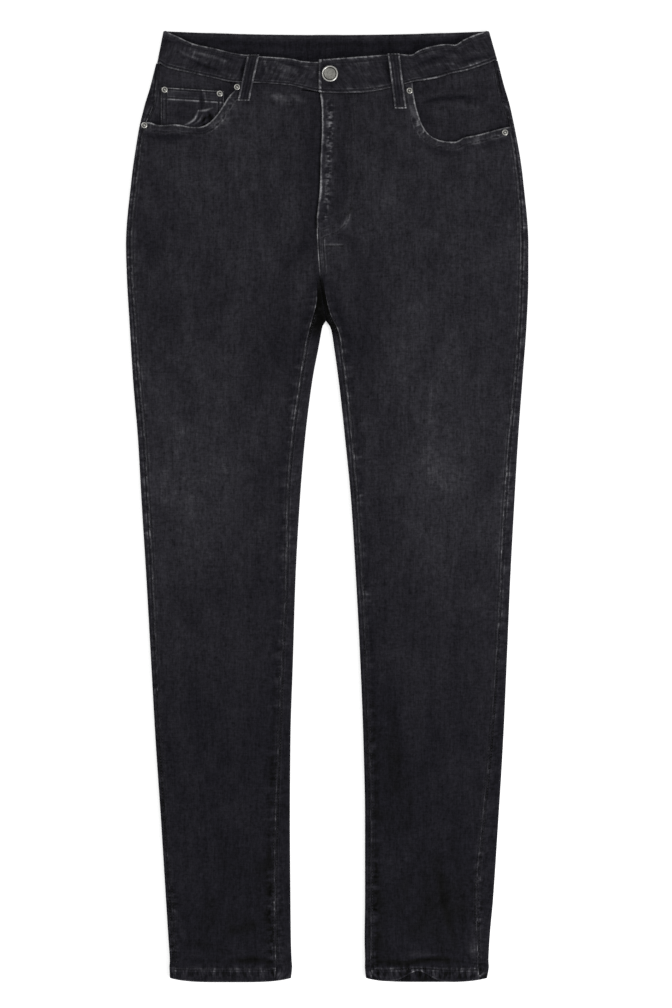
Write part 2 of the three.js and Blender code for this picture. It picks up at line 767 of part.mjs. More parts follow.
function mouthDistance(leg, x, y) {
  const curve = leg.mouth.getPoints(MOUTH_STEPS);
  return Math.min(...curve.map((place) => Math.hypot(place.x - x, place.y - y)));
}

function insideMouth(leg, x, y) {
  const curve = leg.mouth.getPoints(MOUTH_STEPS);
  const across = (place) => place.x * leg.sign;
  const next = curve.findIndex((place) => across(place) > x * leg.sign);
  if (next === 0) return false;
  return y > curve[next < 0 ? curve.length - 1 : next].y;
}

function facingDrop(leg, x, y) {
  const aside = Math.max(COIN.sideX - x, x - COIN.centreX, COIN.low - y, y - COIN.sideTop, 0);
  const coin = leg === RIGHT ? STACKED * (1 - smooth((aside - COIN_EASE.margin) / COIN_EASE.ramp)) : 0;
  const under = FACING_DROP.under + coin;
  if (!insideMouth(leg, x, y)) return under;
  const rise = smooth((mouthDistance(leg, x, y) - FACING_DROP.riseFrom) / FACING_DROP.rise);
  return lerp(under, FACING_DROP.inside, rise);
}

function facingHeight(leg, x, y) {
  return layHeight(leg, x, y) - DENIM / 2 - facingDrop(leg, x, y);
}

function pocketFacing(leg) {
  const facing = FACING[leg.name];
  const columns = spread(0, 1, FACING_STEPS.across).map((share) => (y) => {
    const x = lerp(leg.side.at('outseam', y) - leg.sign * HALF_GAP, facing.x, share);
    return new THREE.Vector3(x, y, facingHeight(leg, x, y));
  });
  const rows = ruledRows(() => facing.low, (x) => waistSeam(leg, x), spread(0, 1, FACING_STEPS.up));
  return clothWall(layGrid(rows, columns), rows.map(() => DENIM));
}

const COIN_STEPS = { across: 8, up: 6 };

function coinPocket() {
  const columns = spread(COIN.sideX, COIN.centreX, COIN_STEPS.across).map((x) => (y) => (
    new THREE.Vector3(x, y, facingHeight(RIGHT, x, y) + STACKED)
  ));
  const top = (x) => lerp(COIN.sideTop, COIN.centreTop, (x - COIN.sideX) / (COIN.centreX - COIN.sideX));
  const rows = ruledRows(() => COIN.low, top, spread(0, 1, COIN_STEPS.up));
  return clothWall(layGrid(rows, columns), rows.map(() => DENIM));
}

// Back pocket: a five-sided patch that lies under its panel
function backPocket(leg) {
  const half = BACK_POCKET.width / 2;
  const foot = BACK_POCKET.footWidth / 2;
  const outline = new THREE.Shape([
    point(-half, 0),
    point(-foot, -BACK_POCKET.side),
    point(0, -BACK_POCKET.point),
    point(foot, -BACK_POCKET.side),
    point(half, 0),
  ]);
  return prism(outline, 0, DENIM).translate(leg.sign * BACK_POCKET.x, BACK_POCKET.top, 0);
}

// Front belt loop: seated at both ends, bowed a little between them
const LOOP_SHARES = [0, 0.08, 0.2, 0.4, 0.6, 0.8, 0.92, 1];

function frontLoop(loop) {
  const leg = loop.topX < 0 ? RIGHT : LEFT;
  const bandTop = bandFrontHeight(leg, loop.topX) + BAND_WALL / 2;
  const seat = Math.max(bandTop, layHeight(leg, loop.lowX, loop.lowY));
  const grid = LOOP_SHARES.map((share) => {
    const bow = LOOP.bow * Math.sin(Math.PI * smooth(share)) ** 2;
    const x = lerp(loop.topX, loop.lowX, share);
    const y = lerp(loop.topY, loop.lowY, share);
    const z = seat + GAP + DENIM / 2 + bow;
    return [-1, 1].map((edge) => new THREE.Vector3(x + (edge * LOOP.width) / 2, y, z));
  });
  return clothWall(grid, LOOP_SHARES.map(() => DENIM));
}

function backLoop(loop) {
  const half = LOOP.width / 2;
  const low = backLoopX(loop, LOOP.backLow);
  const top = backLoopX(loop, LOOP.backTop);
  const outline = new THREE.Shape([
    point(low - half, LOOP.backLow),
    point(low + half, LOOP.backLow),
    point(top + half, LOOP.backTop),
    point(top - half, LOOP.backTop),
  ]);
  return prism(outline, 0, DENIM);
}

// Button: a dished cap on a shank that passes through the buttonhole to the underlap
function button() {
  const underlapTop = BAND.frontMiddle + BAND_WALL / 2;
  const cap = bandFrontHeight(LEFT, BUTTON.x) + BAND_WALL / 2 + GAP;
  return turned([
    [0, underlapTop + GAP],
    [BUTTON.shank, underlapTop + GAP],
    [BUTTON.shank, cap],
    ...BUTTON_CAP.map((ring) => [BUTTON.radius * ring.share, cap + ring.height]),
  ], BUTTON_SIDES);
}

function rivet() {
  return turned(RIVET_CAP.map((ring) => [ring.radius, ring.height]), RIVET_SIDES);
}

// Height of the cloth under a rivet, on the coin pocket or on the front
function rivetSeat(spot) {
  const leg = spot.x < 0 ? RIGHT : LEFT;
  if (spot.on === 'coin') return facingHeight(RIGHT, spot.x, spot.y) + STACKED + DENIM / 2 + GAP;
  return layHeight(leg, spot.x, spot.y) + GAP;
}

// Zip: the tape with its chain, and the slider with its tab
function zip() {
  const tape = ZIP.tape / 2;
  const chain = CHAIN.width / 2;
  const box = (half, low, top) => new THREE.Shape([
    point(ZIP.x - half, low),
    point(ZIP.x + half, low),
    point(ZIP.x + half, top),
    point(ZIP.x - half, top),
  ]);
  const tapeTop = ZIP.tapeLow + ZIP.tapeWall;
  const cloth = toSolid(prism(box(tape, ZIP.low, ZIP.top), ZIP.tapeLow, tapeTop));
  const teeth = toSolid(prism(box(chain, ZIP.low, CHAIN.top), ZIP.tapeLow, tapeTop + CHAIN.wall));
  return fromSolid(cloth.add(teeth));
}

function zipSlider() {
  const half = SLIDER.width / 2;
  const narrow = SLIDER.tab / 2;
  const body = new THREE.Shape([
    point(ZIP.x - narrow, SLIDER.low),
    point(ZIP.x + narrow, SLIDER.low),
    point(ZIP.x + half, SLIDER.top),
    point(ZIP.x - half, SLIDER.top),
  ]);
  const tab = new THREE.Shape([
    point(ZIP.x - narrow, SLIDER.low - SLIDER.tabLength),
    point(ZIP.x + narrow, SLIDER.low - SLIDER.tabLength),
    point(ZIP.x + narrow, SLIDER.low + narrow),
    point(ZIP.x - narrow, SLIDER.low + narrow),
  ]);
  const block = toSolid(prism(body, SLIDER.floor, SLIDER.roof));
  return fromSolid(block.add(toSolid(prism(tab, SLIDER.roof - SLIDER.tabWall, SLIDER.roof))));
}

// Finishes
const denim = () => new THREE.MeshStandardMaterial({ color: 0x27262b, roughness: 0.95, metalness: 0 });
const worn = () => new THREE.MeshStandardMaterial({ color: 0x2d2c31, roughness: 0.95, metalness: 0 });
const nickel = () => new THREE.MeshStandardMaterial({ color: 0x8a8781, roughness: 0.4, metalness: 1 });
const tapeBlack = () => new THREE.MeshStandardMaterial({ color: 0x151517, roughness: 0.9, metalness: 0 });

const jeans = new THREE.Group();

function place(name, geometry, material) {
  const mesh = new THREE.Mesh(geometry, material);
  mesh.name = name;
  jeans.add(mesh);
  return mesh;
}

for (const leg of [RIGHT, LEFT]) {
  place(`front_${leg.name}`, frontPanel(leg), denim());
  place(`back_${leg.name}`, backPanel(leg), denim());
  place(`yoke_${leg.name}`, yoke(leg), denim());
  place(`pocket_facing_${leg.name}`, pocketFacing(leg), denim());
  place(`back_pocket_${leg.name}`, backPocket(leg), denim());
}
place('coin_pocket', coinPocket(), worn());
place('waistband', waistband(), worn());
for (const loop of FRONT_LOOPS) {
  place(loop.name, frontLoop(loop), worn());
}
for (const loop of BACK_LOOPS) {
  place(loop.name, backLoop(loop), worn());
}
place('button', button(), nickel()).position.set(BUTTON.x, BUTTON.y, 0);
for (const spot of RIVETS) {
  const mesh = place(spot.name, rivet(), nickel());
  mesh.position.set(spot.x, spot.y, rivetSeat(spot));
  mesh.rotation.y = THREE.MathUtils.degToRad(spot.tilt);
}
place('zip', zip(), tapeBlack());
place('zip_slider', zipSlider(), nickel());

export default jeans;
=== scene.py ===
import math

import bpy
import numpy as np
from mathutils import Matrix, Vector


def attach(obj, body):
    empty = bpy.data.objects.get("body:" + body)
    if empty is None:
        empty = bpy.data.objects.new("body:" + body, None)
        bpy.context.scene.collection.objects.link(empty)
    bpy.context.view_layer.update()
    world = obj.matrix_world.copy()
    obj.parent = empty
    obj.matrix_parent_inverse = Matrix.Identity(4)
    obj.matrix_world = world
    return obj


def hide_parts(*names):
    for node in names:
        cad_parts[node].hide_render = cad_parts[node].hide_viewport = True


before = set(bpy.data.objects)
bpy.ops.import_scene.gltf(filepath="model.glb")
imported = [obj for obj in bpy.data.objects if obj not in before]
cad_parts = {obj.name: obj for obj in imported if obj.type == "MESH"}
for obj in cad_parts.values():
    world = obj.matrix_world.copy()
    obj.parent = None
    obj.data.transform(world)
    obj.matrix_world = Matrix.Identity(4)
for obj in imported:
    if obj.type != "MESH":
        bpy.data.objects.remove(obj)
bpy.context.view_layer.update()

# Front legs: two panels of stretch denim, from the waist seam to the turned-up hem. Each lies between its
# outseam and its inseam, its pocket mouth is cut away and turned in, and the left one laps over the right
# one at the fly. Sizes are in millimetres, as in the pattern, and become metres in the mesh.
MM = 0.001
DENIM_WALL = 1.2
HEM_WALL = 2.4
GAP = 0.3
STACKED = DENIM_WALL + GAP
SEAM = -0.03
DIP_REACH = 40
CROTCH = 244.6
VALLEY = {"from": 212.6, "reach": 50}
RULED_FROM = 385
RULED_TO = 450
HEM = {"corner": -509, "sag": 4.5, "top": -495.5, "step": 1.4, "middle": -503, "row": -497.6,
       "row_ends": -497, "edge_ends": -505}
BEYOND = {"x": 260, "y": 700}
FAR = 60
HEM_LIFT = {"x": 98, "height": 12, "reach": 17}
LAP = {"width": 9, "from": 312, "full": 330, "level_from": 285, "level_full": 312}
FLY_DIP = {"right": -1.0, "left": 0.5, "flat": 11, "ramp": 26}


def smooth(t):
    held = np.clip(t, 0, 1)
    return held * held * (3 - 2 * held)


def lerp(start, end, t):
    return start + (end - start) * t


def bell(t):
    return np.exp(-(t ** 2))


def sections(names, rows):
    """A table of sections: each column is read between its rows by a cubic that never overshoots them."""
    columns = dict(zip(names, np.array(rows, float).T))
    places = columns[names[0]]
    steps = np.diff(places)

    def reader(values):
        slope = np.diff(values) / steps
        product = slope[:-1] * slope[1:]
        total = slope[:-1] + slope[1:]
        bends = np.where(product > 0, 2 * product / np.where(total == 0, 1, total), 0)
        tangent = np.concatenate([slope[:1], bends, slope[-1:]])

        def read(place):
            held = np.clip(place, places[0], places[-1])
            row = np.clip(np.searchsorted(places, held, side="right") - 1, 0, len(steps) - 1)
            t = (held - places[row]) / steps[row]
            rest = 1 - t
            return (values[row] * (1 + 2 * t) * rest * rest
                    + values[row + 1] * t * t * (3 - 2 * t)
                    + tangent[row] * steps[row] * t * rest * rest
                    - tangent[row + 1] * steps[row] * t * t * rest)

        return read

    return {name: reader(columns[name]) for name in names[1:]}


LAY = sections(["y", "edge", "middle"], [
    [-514, 5.4, 5.6],
    [-494, 5.4, 5.6],
    [-466, 4.6, 5.4],
    [-100, 4.8, 5.9],
    [150, 5.2, 6.2],
    [300, 5.6, 6.3],
    [450, 5.6, 6.3],
    [480, 5.6, 6.1],
])
RIGHT_SIDE = sections(["y", "outer", "outseam"], [
    [-510, -169.8, -165.2],
    [-496, -170.4, -164.6],
    [-492, -170.0, -164.6],
    [-468, -171.4, -166.0],
    [-425, -174.1, -168.7],
    [-339, -179.5, -174.1],
    [-252, -185.4, -179.5],
    [-166, -190.3, -184.4],
    [-79, -195.2, -188.1],
    [7, -200.6, -193.0],
    [72, -204.3, -196.8],
    [137, -209.7, -202.7],
    [200, -213.6, -207.0],
    [245, -216.2, -210.2],
    [282, -217.3, -211.4],
    [353, -211.4, -205.4],
    [390, -206.2, -201.1],
    [410, -202.8, -197.0],
    [425, -199.2, -190.6],
    [435, -196.6, -187.0],
    [450, -191.9, -184.9],
    [478, -184.7, -181.6],
    [482, -183.6, -180.6],
])
LEFT_SIDE = sections(["y", "outer", "outseam"], [
    [-510, 172.4, 164.4],
    [-496, 174.6, 163.0],
    [-492, 174.2, 162.9],
    [-468, 175.3, 162.3],
    [-425, 179.1, 161.2],
    [-339, 184.8, 168.0],
    [-252, 190.1, 176.4],
    [-166, 194.0, 182.6],
    [-79, 197.7, 187.2],
    [7, 202.3, 191.5],
    [72, 206.1, 196.3],
    [137, 210.9, 202.3],
    [200, 215.5, 206.9],
    [245, 217.2, 208.4],
    [282, 217.3, 209.3],
    [353, 211.5, 205.5],
    [374, 208.8, 203.0],
    [397, 204.8, 199.6],
    [420, 200.1, 195.0],
    [435, 196.7, 189.6],
    [454, 191.0, 184.6],
    [478, 184.8, 180.2],
    [482, 183.7, 179.2],
])
RIGHT_INNER = sections(["y", "inseam", "inner"], [
    [-510, -56.2, -39.2],
    [-496, -55.4, -37.8],
    [-492, -55.3, -38.2],
    [-468, -55.8, -39.1],
    [-425, -56.7, -39.6],
    [-339, -55.3, -40.2],
    [-252, -52.1, -39.6],
    [-166, -48.8, -36.9],
    [-79, -44.5, -34.2],
    [7, -42.9, -29.4],
    [72, -38.0, -24.0],
    [137, -28.8, -15.9],
    [174, -22.9, -8.9],
    [188, -19.7, -6.4],
    [196, -17.7, -4.6],
    [200.3, -16.4, -1.3],
    [211, -13.4, -3.1],
    [223, -11.0, -5.1],
    [244.6, -10.4, -7.7],
])
LEFT_INNER = sections(["y", "inseam", "inner"], [
    [-510, 48.2, 42.0],
    [-496, 47.4, 40.6],
    [-492, 47.3, 40.8],
    [-468, 47.0, 40.3],
    [-425, 46.8, 40.8],
    [-339, 47.3, 40.8],
    [-252, 45.1, 39.0],
    [-166, 42.4, 35.6],
    [-79, 37.6, 31.1],
    [7, 32.2, 25.7],
    [72, 26.8, 19.4],
    [137, 19.8, 12.2],
    [174, 15.0, 7.1],
    [188, 12.2, 4.9],
    [196, 9.0, 2.3],
    [200.3, 6.3, -1.4],
    [211, 2.2, -3.2],
    [223, -0.8, -5.2],
    [244.6, -5.2, -7.9],
])
CENTRE = sections(["y", "fly", "seat"], [
    [244.6, -7.8, -7.8],
    [266, -9.6, -5.4],
    [290, -11.0, -3.0],
    [308, -11.3, -1.8],
    [323, -9.9, -0.8],
    [344, -7.8, -0.2],
    [376, -7.0, -0.2],
    [406, -5.6, -0.2],
    [425, -5.6, -0.2],
    [447, -7.8, -0.2],
])
BAND_RIGHT = sections(["x", "seam", "top"], [
    [-183.7, 478.4, 513.3],
    [-171, 473.1, 508.7],
    [-148, 467.9, 499.0],
    [-127, 463.3, 494.6],
    [-100, 457.8, 488.7],
    [-75, 456.9, 486.0],
    [-42, 454.6, 483.6],
    [-27, 451.6, 480.6],
    [-9, 447.8, 479.7],
    [25, 447.2, 480.1],
])
BAND_LEFT = sections(["x", "seam", "top"], [
    [-9.4, 447.1, 482.2],
    [12, 445.8, 483.6],
    [38, 446.6, 485.5],
    [60, 449.6, 487.3],
    [83, 455.2, 488.3],
    [95, 458.8, 487.5],
    [104.5, 460.0, 492.5],
    [120, 462.8, 497.1],
    [135, 467.4, 499.1],
    [144.5, 469.3, 498.4],
    [155, 471.9, 503.8],
    [171, 477.5, 510.3],
    [183.7, 481.5, 513.3],
])
RIGHT_MOUTH_POINTS = [
    [-97, 484], [-97, 455], [-107, 441.3], [-120, 421.5], [-133, 410.8],
    [-147, 409.8], [-163, 412.4], [-181, 411.6], [-192, 414.8], [-200, 413.4],
]
LEFT_MOUTH_POINTS = [
    [91.6, 484], [92.6, 452], [96.8, 428.4], [105, 407.5], [118, 396.5],
    [137.5, 393.6], [148, 398.4], [162, 401], [188, 408], [202, 410.8],
]


def curve_through(points, steps):
    """A smooth line through a few points."""
    points = np.array(points, float)
    last = len(points) - 1
    place = np.linspace(0, last, steps + 1)
    row = np.minimum(place.astype(int), last - 1)
    t = (place - row)[:, None]
    before, here = points[np.maximum(row - 1, 0)], points[row]
    after, beyond = points[row + 1], points[np.minimum(row + 2, last)]
    leave, reach = (after - before) / 2, (beyond - here) / 2
    return ((2 * here - 2 * after + leave + reach) * t ** 3
            + (3 * after - 3 * here - 2 * leave - reach) * t ** 2 + leave * t + here)


def beside(line, offset):
    """A line that runs beside another one, to its left where offset is above 0."""
    along = np.gradient(line, axis=0)
    normal = np.stack([-along[:, 1], along[:, 0]], 1) / np.linalg.norm(along, axis=1)[:, None]
    return line + normal * offset


RIGHT = {"name": "right", "sign": -1, "band": BAND_RIGHT, "mouth": curve_through(RIGHT_MOUTH_POINTS, 90),
         **RIGHT_SIDE, **RIGHT_INNER}
LEFT = {"name": "left", "sign": 1, "band": BAND_LEFT, "mouth": curve_through(LEFT_MOUTH_POINTS, 90),
        **LEFT_SIDE, **LEFT_INNER}
LEGS = (RIGHT, LEFT)


def lay_height(leg, x, y):
    """Height of the front's upper face: lower by the folded edges, and by the valley below the crotch."""
    from_side = np.abs(x - leg["outer"](y))
    from_inner = np.abs(x - leg["inner"](y))
    valley = 1 - smooth((y - VALLEY["from"]) / VALLEY["reach"])
    dip = np.maximum(1 - smooth(from_side / DIP_REACH), valley * (1 - smooth(from_inner / DIP_REACH)))
    return lerp(LAY["middle"](y), LAY["edge"](y), dip)


def fly_shift(leg, x, y):
    """The right front dips under the fly and the left one rises over it."""
    away = np.abs(x - CENTRE["fly"](y))
    near = 1 - smooth((away - FLY_DIP["flat"]) / FLY_DIP["ramp"])
    level = smooth((y - LAP["level_from"]) / (LAP["level_full"] - LAP["level_from"]))
    return FLY_DIP[leg["name"]] * near * level * (y > CROTCH)


def hem_edge(leg, x, lifted):
    outer, inner = leg["outer"](HEM["corner"]), leg["inner"](HEM["corner"])
    across = (x - (outer + inner) / 2) / (abs(outer - inner) / 2)
    lift = HEM_LIFT["height"] * bell((x - HEM_LIFT["x"]) / HEM_LIFT["reach"]) if lifted else 0
    return HEM["corner"] - HEM["sag"] * (1 - across ** 4) + lift


def waist_seam(leg, x):
    return leg["band"]["seam"](x) - SEAM


def front_inner_edge(leg, y):
    lap = LAP["width"] * smooth((y - LAP["from"]) / (LAP["full"] - LAP["from"])) if leg is RIGHT else 0
    below = leg["inseam"](y)
    above = CENTRE["fly"](y) + lap
    return np.where(y <= CROTCH, below, above) + leg["sign"] * SEAM


def level_to_y(leg, level, x, lifted, top_seam):
    """Real height of a row at x: rows follow the hem's edge at one end and the top seam at the other."""
    low = lerp(hem_edge(leg, x, lifted), HEM["top"], (level - HEM["corner"]) / (HEM["top"] - HEM["corner"]))
    high = lerp(RULED_FROM, top_seam, (level - RULED_FROM) / (RULED_TO - RULED_FROM))
    return np.where(level < HEM["top"], low, np.where(level > RULED_FROM, high, level))


# Creases that stand out in the cloth, as ridges (rise above 0) and troughs, from one end to the other. bend is
# how far the middle bows aside, and wear_and_shade how pale the washing left it, with painted shade below 0 in
# the troughs and in the rows that have no rise.
CREASE_COLUMNS = ["x0", "y0", "x1", "y1", "bend", "rise", "width", "wear_and_shade"]
FRONT_CREASES = [
    # beside the fly, from the band down
    [-30, 436, -24, 372, 2, -0.6, 6, -0.05],
    [-17, 440, -16, 320, 1, -0.5, 7, -0.10],
    [-56, 446, -38, 428, 3, 0.5, 3, 0.16],
    [-66, 447, -49, 434, 2, 0.4, 3, 0.14],
    [-44, 449, -22, 436, -2, 0.4, 3, 0.2],
    # under the right pocket
    [-196, 401, -150, 400, -2, -0.7, 5, -0.22],
    [-150, 399, -122, 408, 2, -0.6, 4, -0.2],
    [-104, 426, -88, 437, 2, 0.5, 3.5, 0.14],
    [-116, 410, -96, 421, 2, 0.4, 4, 0.12],
    [-188, 372, -150, 330, 6, 0.35, 9, 0.06],
    [-204, 330, -178, 250, -5, -0.5, 10, -0.1],
    [-172, 286, -196, 232, 3, 0.35, 8, 0.05],
    # under the left pocket
    [84, 422, 92, 398, -3, 0.5, 3.5, -0.02],
    [104, 394, 140, 383, -4, -0.6, 5, -0.18],
    [150, 388, 196, 398, -2, -0.5, 5, -0.12],
    [56, 408, 84, 386, 3, 0.4, 4, 0.04],
    [150, 352, 196, 318, -5, 0.35, 9, 0.04],
    # the drawn-in curve and the bar at the fly's foot
    [29, 352, 26, 326, -1, 0.3, 2.0, 0.10],
    [26, 326, 11, 298, 4, 0.3, 2.2, 0.17],
    [21, 318, 8, 306, 2, -0.3, 2.4, -0.08],
    [-5, 283, 18, 282, 0, 0.4, 1.7, 0.22],
    [-4, 300, -3, 268, 0, 0.3, 1.2, 0.12],
    [0, 306, 1, 286, 1, 0.3, 1.4, 0.10],
    [6, 302, 8, 292, 1, 0.2, 1.4, 0.08],
    # shadows under the belt loops
    [-95, 453, -99, 440, 0, 0, 3, -0.14],
    [-97, 434, -84, 434, 0, 0, 2.4, -0.16],
    [70, 452, 71, 430, 0, 0, 3.4, -0.14],
    [73, 426, 86, 426, 0, 0, 2.4, -0.14],
    # out from the fly's foot and the crotch
    [10, 296, 34, 270, 4, -0.5, 6, -0.12],
    [14, 262, 46, 232, -3, 0.4, 7, 0.03],
    [-16, 290, -40, 262, -3, -0.45, 7, -0.1],
    [-18, 250, -56, 214, 4, 0.4, 8, 0.03],
    [-14, 236, -32, 176, 3, -0.5, 8, -0.14],
    [8, 232, 30, 170, -3, -0.5, 8, -0.14],
    [-26, 206, -66, 168, 5, 0.35, 9, 0.0],
    [22, 200, 64, 158, -5, 0.35, 9, 0.0],
    # thighs and knees, long and shallow
    [-176, 196, -150, 96, 7, -0.35, 12, -0.04],
    [-96, 176, -84, 60, -8, 0.35, 13, 0.02],
    [120, 190, 138, 70, -6, 0.35, 14, 0.03],
    [72, 150, 62, 40, 5, -0.35, 11, -0.03],
    [-150, 30, -126, -72, 8, 0.3, 13, 0.02],
    [-100, -20, -112, -120, -6, -0.3, 12, -0.03],
    [92, 10, 104, -96, 7, 0.3, 12, 0.02],
    [150, -30, 140, -130, -5, -0.3, 12, -0.03],
    [-160, -118, -110, -142, 4, -0.4, 8, -0.05],
    [64, -120, 108, -150, -4, -0.4, 8, -0.04],
    # shins
    [-150, -190, -138, -286, 4, -0.45, 10, -0.07],
    [-104, -226, -92, -330, -5, 0.35, 11, 0.03],
    [66, -206, 76, -300, 4, -0.45, 9, -0.08],
    [132, -236, 140, -332, -4, 0.35, 10, 0.03],
    [112, -214, 104, -296, 3, -0.35, 10, -0.06],
    [-120, -344, -108, -404, 3, -0.45, 8, -0.08],
    [-152, -372, -134, -428, -3, 0.4, 7, 0.05],
    # above the right hem
    [-166, -438, -155, -468, 2, 0.5, 4, 0.14],
    [-158, -470, -116, -478, 2, -0.4, 5, -0.08],
    [-112, -458, -70, -448, -3, -0.5, 6, -0.1],
    [-66, -484, -58, -490, 1, 0.6, 2.2, 0.2],
    # above the left hem, and along both hems' turnings
    [83, -386, 82, -438, 2, -0.5, 5, -0.07],
    [120, -380, 141, -480, -4, -0.6, 4.5, -0.12],
    [119, -402, 130, -462, -3, 0.5, 6, 0.04],
    [84, -485, 118, -484, 1, 0.6, 2.4, 0.12],
    [56, -491, 110, -489, -3, -0.7, 3.4, -0.22],
    [92, -490, 148, -492, 2, -0.6, 3.0, -0.20],
    [-104, -491, -62, -490, 1, -0.5, 4.0, -0.26],
    [-160, -491, -108, -491, 1, -0.3, 2.4, -0.08],
    [86, -482, 118, -484, 1, 0.5, 2.4, 0.14],
    [66, -452, 72, -476, 1, 0.4, 4, 0.08],
    [156, -450, 160, -480, -1, 0.5, 2.2, 0.14],
    [153, -470, 158, -492, 1, 0.6, 2.6, 0.2],
    [148, -478, 154, -494, 1, -0.4, 2.4, -0.12],
]


def creased(rows, x, y):
    """Height, and paleness from wear and painted shade, that a table of creases gives at each point."""
    height, wear_and_shade = np.zeros(x.shape), np.zeros(x.shape)
    for row in rows:
        crease = dict(zip(CREASE_COLUMNS, row))
        run = np.array([crease["x1"] - crease["x0"], crease["y1"] - crease["y0"]])
        length = np.hypot(*run)
        side = np.array([-run[1], run[0]]) / length
        along = ((x - crease["x0"]) * run[0] + (y - crease["y0"]) * run[1]) / length ** 2
        held = np.clip(along, 0, 1)
        bow = crease["bend"] * np.sin(math.pi * held)
        near_x = crease["x0"] + run[0] * held + side[0] * bow
        near_y = crease["y0"] + run[1] * held + side[1] * bow
        width = crease["width"] * (0.6 + 0.4 * np.sin(math.pi * held))
        amount = np.exp(-((x - near_x) ** 2 + (y - near_y) ** 2) / width ** 2)
        amount *= 0.45 + 0.55 * np.sin(math.pi * np.clip(held, 0.05, 0.95))
        height += crease["rise"] * amount
        wear_and_shade += crease["wear_and_shade"] * amount
    return height, wear_and_shade


def gathers(seed, low, high, spacing):
    """Puckers along a seam: uneven in place, height, length and slant."""
    draw = np.random.default_rng(seed)
    count = int((high - low) / spacing * 1.7)
    place = low + np.cumsum(spacing * draw.uniform(0.55, 1.45, count))
    kept = place < high
    rise = draw.uniform(0.25, 1, count) ** 1.4
    length = draw.uniform(0.5, 1.5, count)
    slant = draw.uniform(-0.3, 0.3, count)
    return [column[kept] for column in (place, rise, length, slant)]


def gathered(rows, along, away, width, length):
    """Height of the puckers, from 0 to about 1, at a place along the seam and a distance away from it."""
    place, rise, long, slant = rows
    held = np.clip(away, 0, FAR)[..., None]
    across = bell((along[..., None] - place - slant * held) / width)
    return (rise * across * bell(held / (length * long))).sum(-1)


def both_sides(seed, low, high, spacing):
    return {leg["name"]: gathers(seed + i, low, high, spacing) for i, leg in enumerate(LEGS)}


# How pale the washing left each part of the legs by height, and in soft patches: faded ones, and painted shade
# beside the fly and round the crotch fork
WASH = sections(["y", "pale"], [
    [-514, -0.16],
    [-440, -0.22],
    [-330, -0.18],
    [-240, -0.14],
    [-130, -0.05],
    [-30, 0.02],
    [60, 0.03],
    [160, 0.01],
    [300, 0.01],
    [400, 0.01],
    [515, 0.0],
])
PATCH_COLUMNS = ["x", "y", "wide", "tall", "pale"]
WASH_AND_SHADE_PATCHES = [
    [-128, 10, 30, 95, 0.02],
    [-158, 60, 26, 80, 0.05],
    [-112, -88, 26, 26, -0.05],
    [-150, 90, 12, 26, -0.03],
    [96, -92, 30, 22, -0.05],
    [84, -40, 10, 60, -0.03],
    [-140, 130, 34, 70, 0.02],
    [100, 110, 34, 100, 0.06],
    [126, 0, 30, 90, 0.06],
    [150, 280, 70, 130, 0.03],
    [60, 190, 26, 60, 0.03],
    [-70, 130, 22, 100, -0.05],
    [-64, -40, 20, 110, -0.06],
    [-72, -240, 22, 120, -0.05],
    [60, -40, 16, 130, -0.06],
    [62, -250, 16, 120, -0.05],
    [-100, 380, 60, 40, 0.02],
    [-60, 320, 50, 40, 0.0],
    [60, 340, 30, 40, 0.03],
    # painted shade beside the fly's lap and round the crotch fork, in this row and the seven below
    [-22, 380, 9, 60, -0.05],
    [-18, 300, 10, 40, -0.04],
    [18, 400, 7, 60, -0.07],
    [17, 350, 8, 34, -0.09],
    [-9, 272, 6, 20, -0.06],
    [-6, 238, 5, 14, -0.2],
    [-46, 190, 18, 60, -0.12],
    [42, 186, 18, 60, -0.15],
    [110, -340, 70, 120, -0.03],
    [108, -455, 60, 50, -0.05],
    # painted shade at the crotch fork
    [-8, 247, 4.5, 7, -0.22],
    [-44, 60, 8, 60, -0.04],
    [34, 60, 8, 60, -0.04],
    [-122, 420, 12, 8, 0.04],
    [34, 296, 16, 8, 0.03],
    [-86, 430, 8, 5, 0.08],
    [-50, 442, 14, 6, 0.06],
    [-188, 280, 12, 40, -0.03],
    [-60, -480, 9, 6, 0.08],
    [158, -478, 8, 10, 0.12],
    [167, -503, 5, 6, 0.16],
    [50, -504, 5, 5, 0.08],
    [-164, -504, 4, 5, 0.12],
    [-48, -504, 7, 5, 0.08],
]


def washed_and_shaded(x, y):
    pale = WASH["pale"](y)
    for row in WASH_AND_SHADE_PATCHES:
        patch = dict(zip(PATCH_COLUMNS, row))
        pale = pale + patch["pale"] * np.exp(
            -(((x - patch["x"]) / patch["wide"]) ** 2) - ((y - patch["y"]) / patch["tall"]) ** 2)
    return pale


def nearest_points(line, x, y):
    """For each run of a line, its point nearest to x and y and how far away that is."""
    for start, end in zip(line[:-1], line[1:]):
        run = end - start
        along = ((x - start[0]) * run[0] + (y - start[1]) * run[1]) / max(run @ run, 1e-9)
        held = np.clip(along, 0, 1)
        near_x, near_y = start[0] + run[0] * held, start[1] + run[1] * held
        yield near_x, near_y, np.hypot(x - near_x, y - near_y)


def away_from(lines, x, y):
    """Distance to the nearest of several lines, each divided by its reach, and that line's strength."""
    nearest, strength = np.full(x.shape, 40.0), np.zeros(x.shape)
    for line, reach, strong in lines:
        for _, _, gap in nearest_points(line, x, y):
            strength = np.where(gap / reach < nearest, strong, strength)
            nearest = np.minimum(nearest, gap / reach)
    return nearest, strength


def worn_layers(edges, rows, x, y):
    """What the material reads of the worn edges and of the rows of stitches near each point."""
    edge, fray = away_from(edges, x, y)
    stitch, sewn = away_from(rows, x, y)
    return {"edge": edge, "fray": fray, "stitch": stitch, "sewn": sewn}


def inside_outline(outline, x, y):
    crossings = np.zeros(x.shape, int)
    for start, end in zip(outline, np.roll(outline, -1, axis=0)):
        spans = (start[1] > y) != (end[1] > y)
        rise = end[1] - start[1] if end[1] != start[1] else 1e-9
        meets = start[0] + (end[0] - start[0]) * (y - start[1]) / rise
        crossings += spans & (x < meets)
    return crossings % 2 == 1


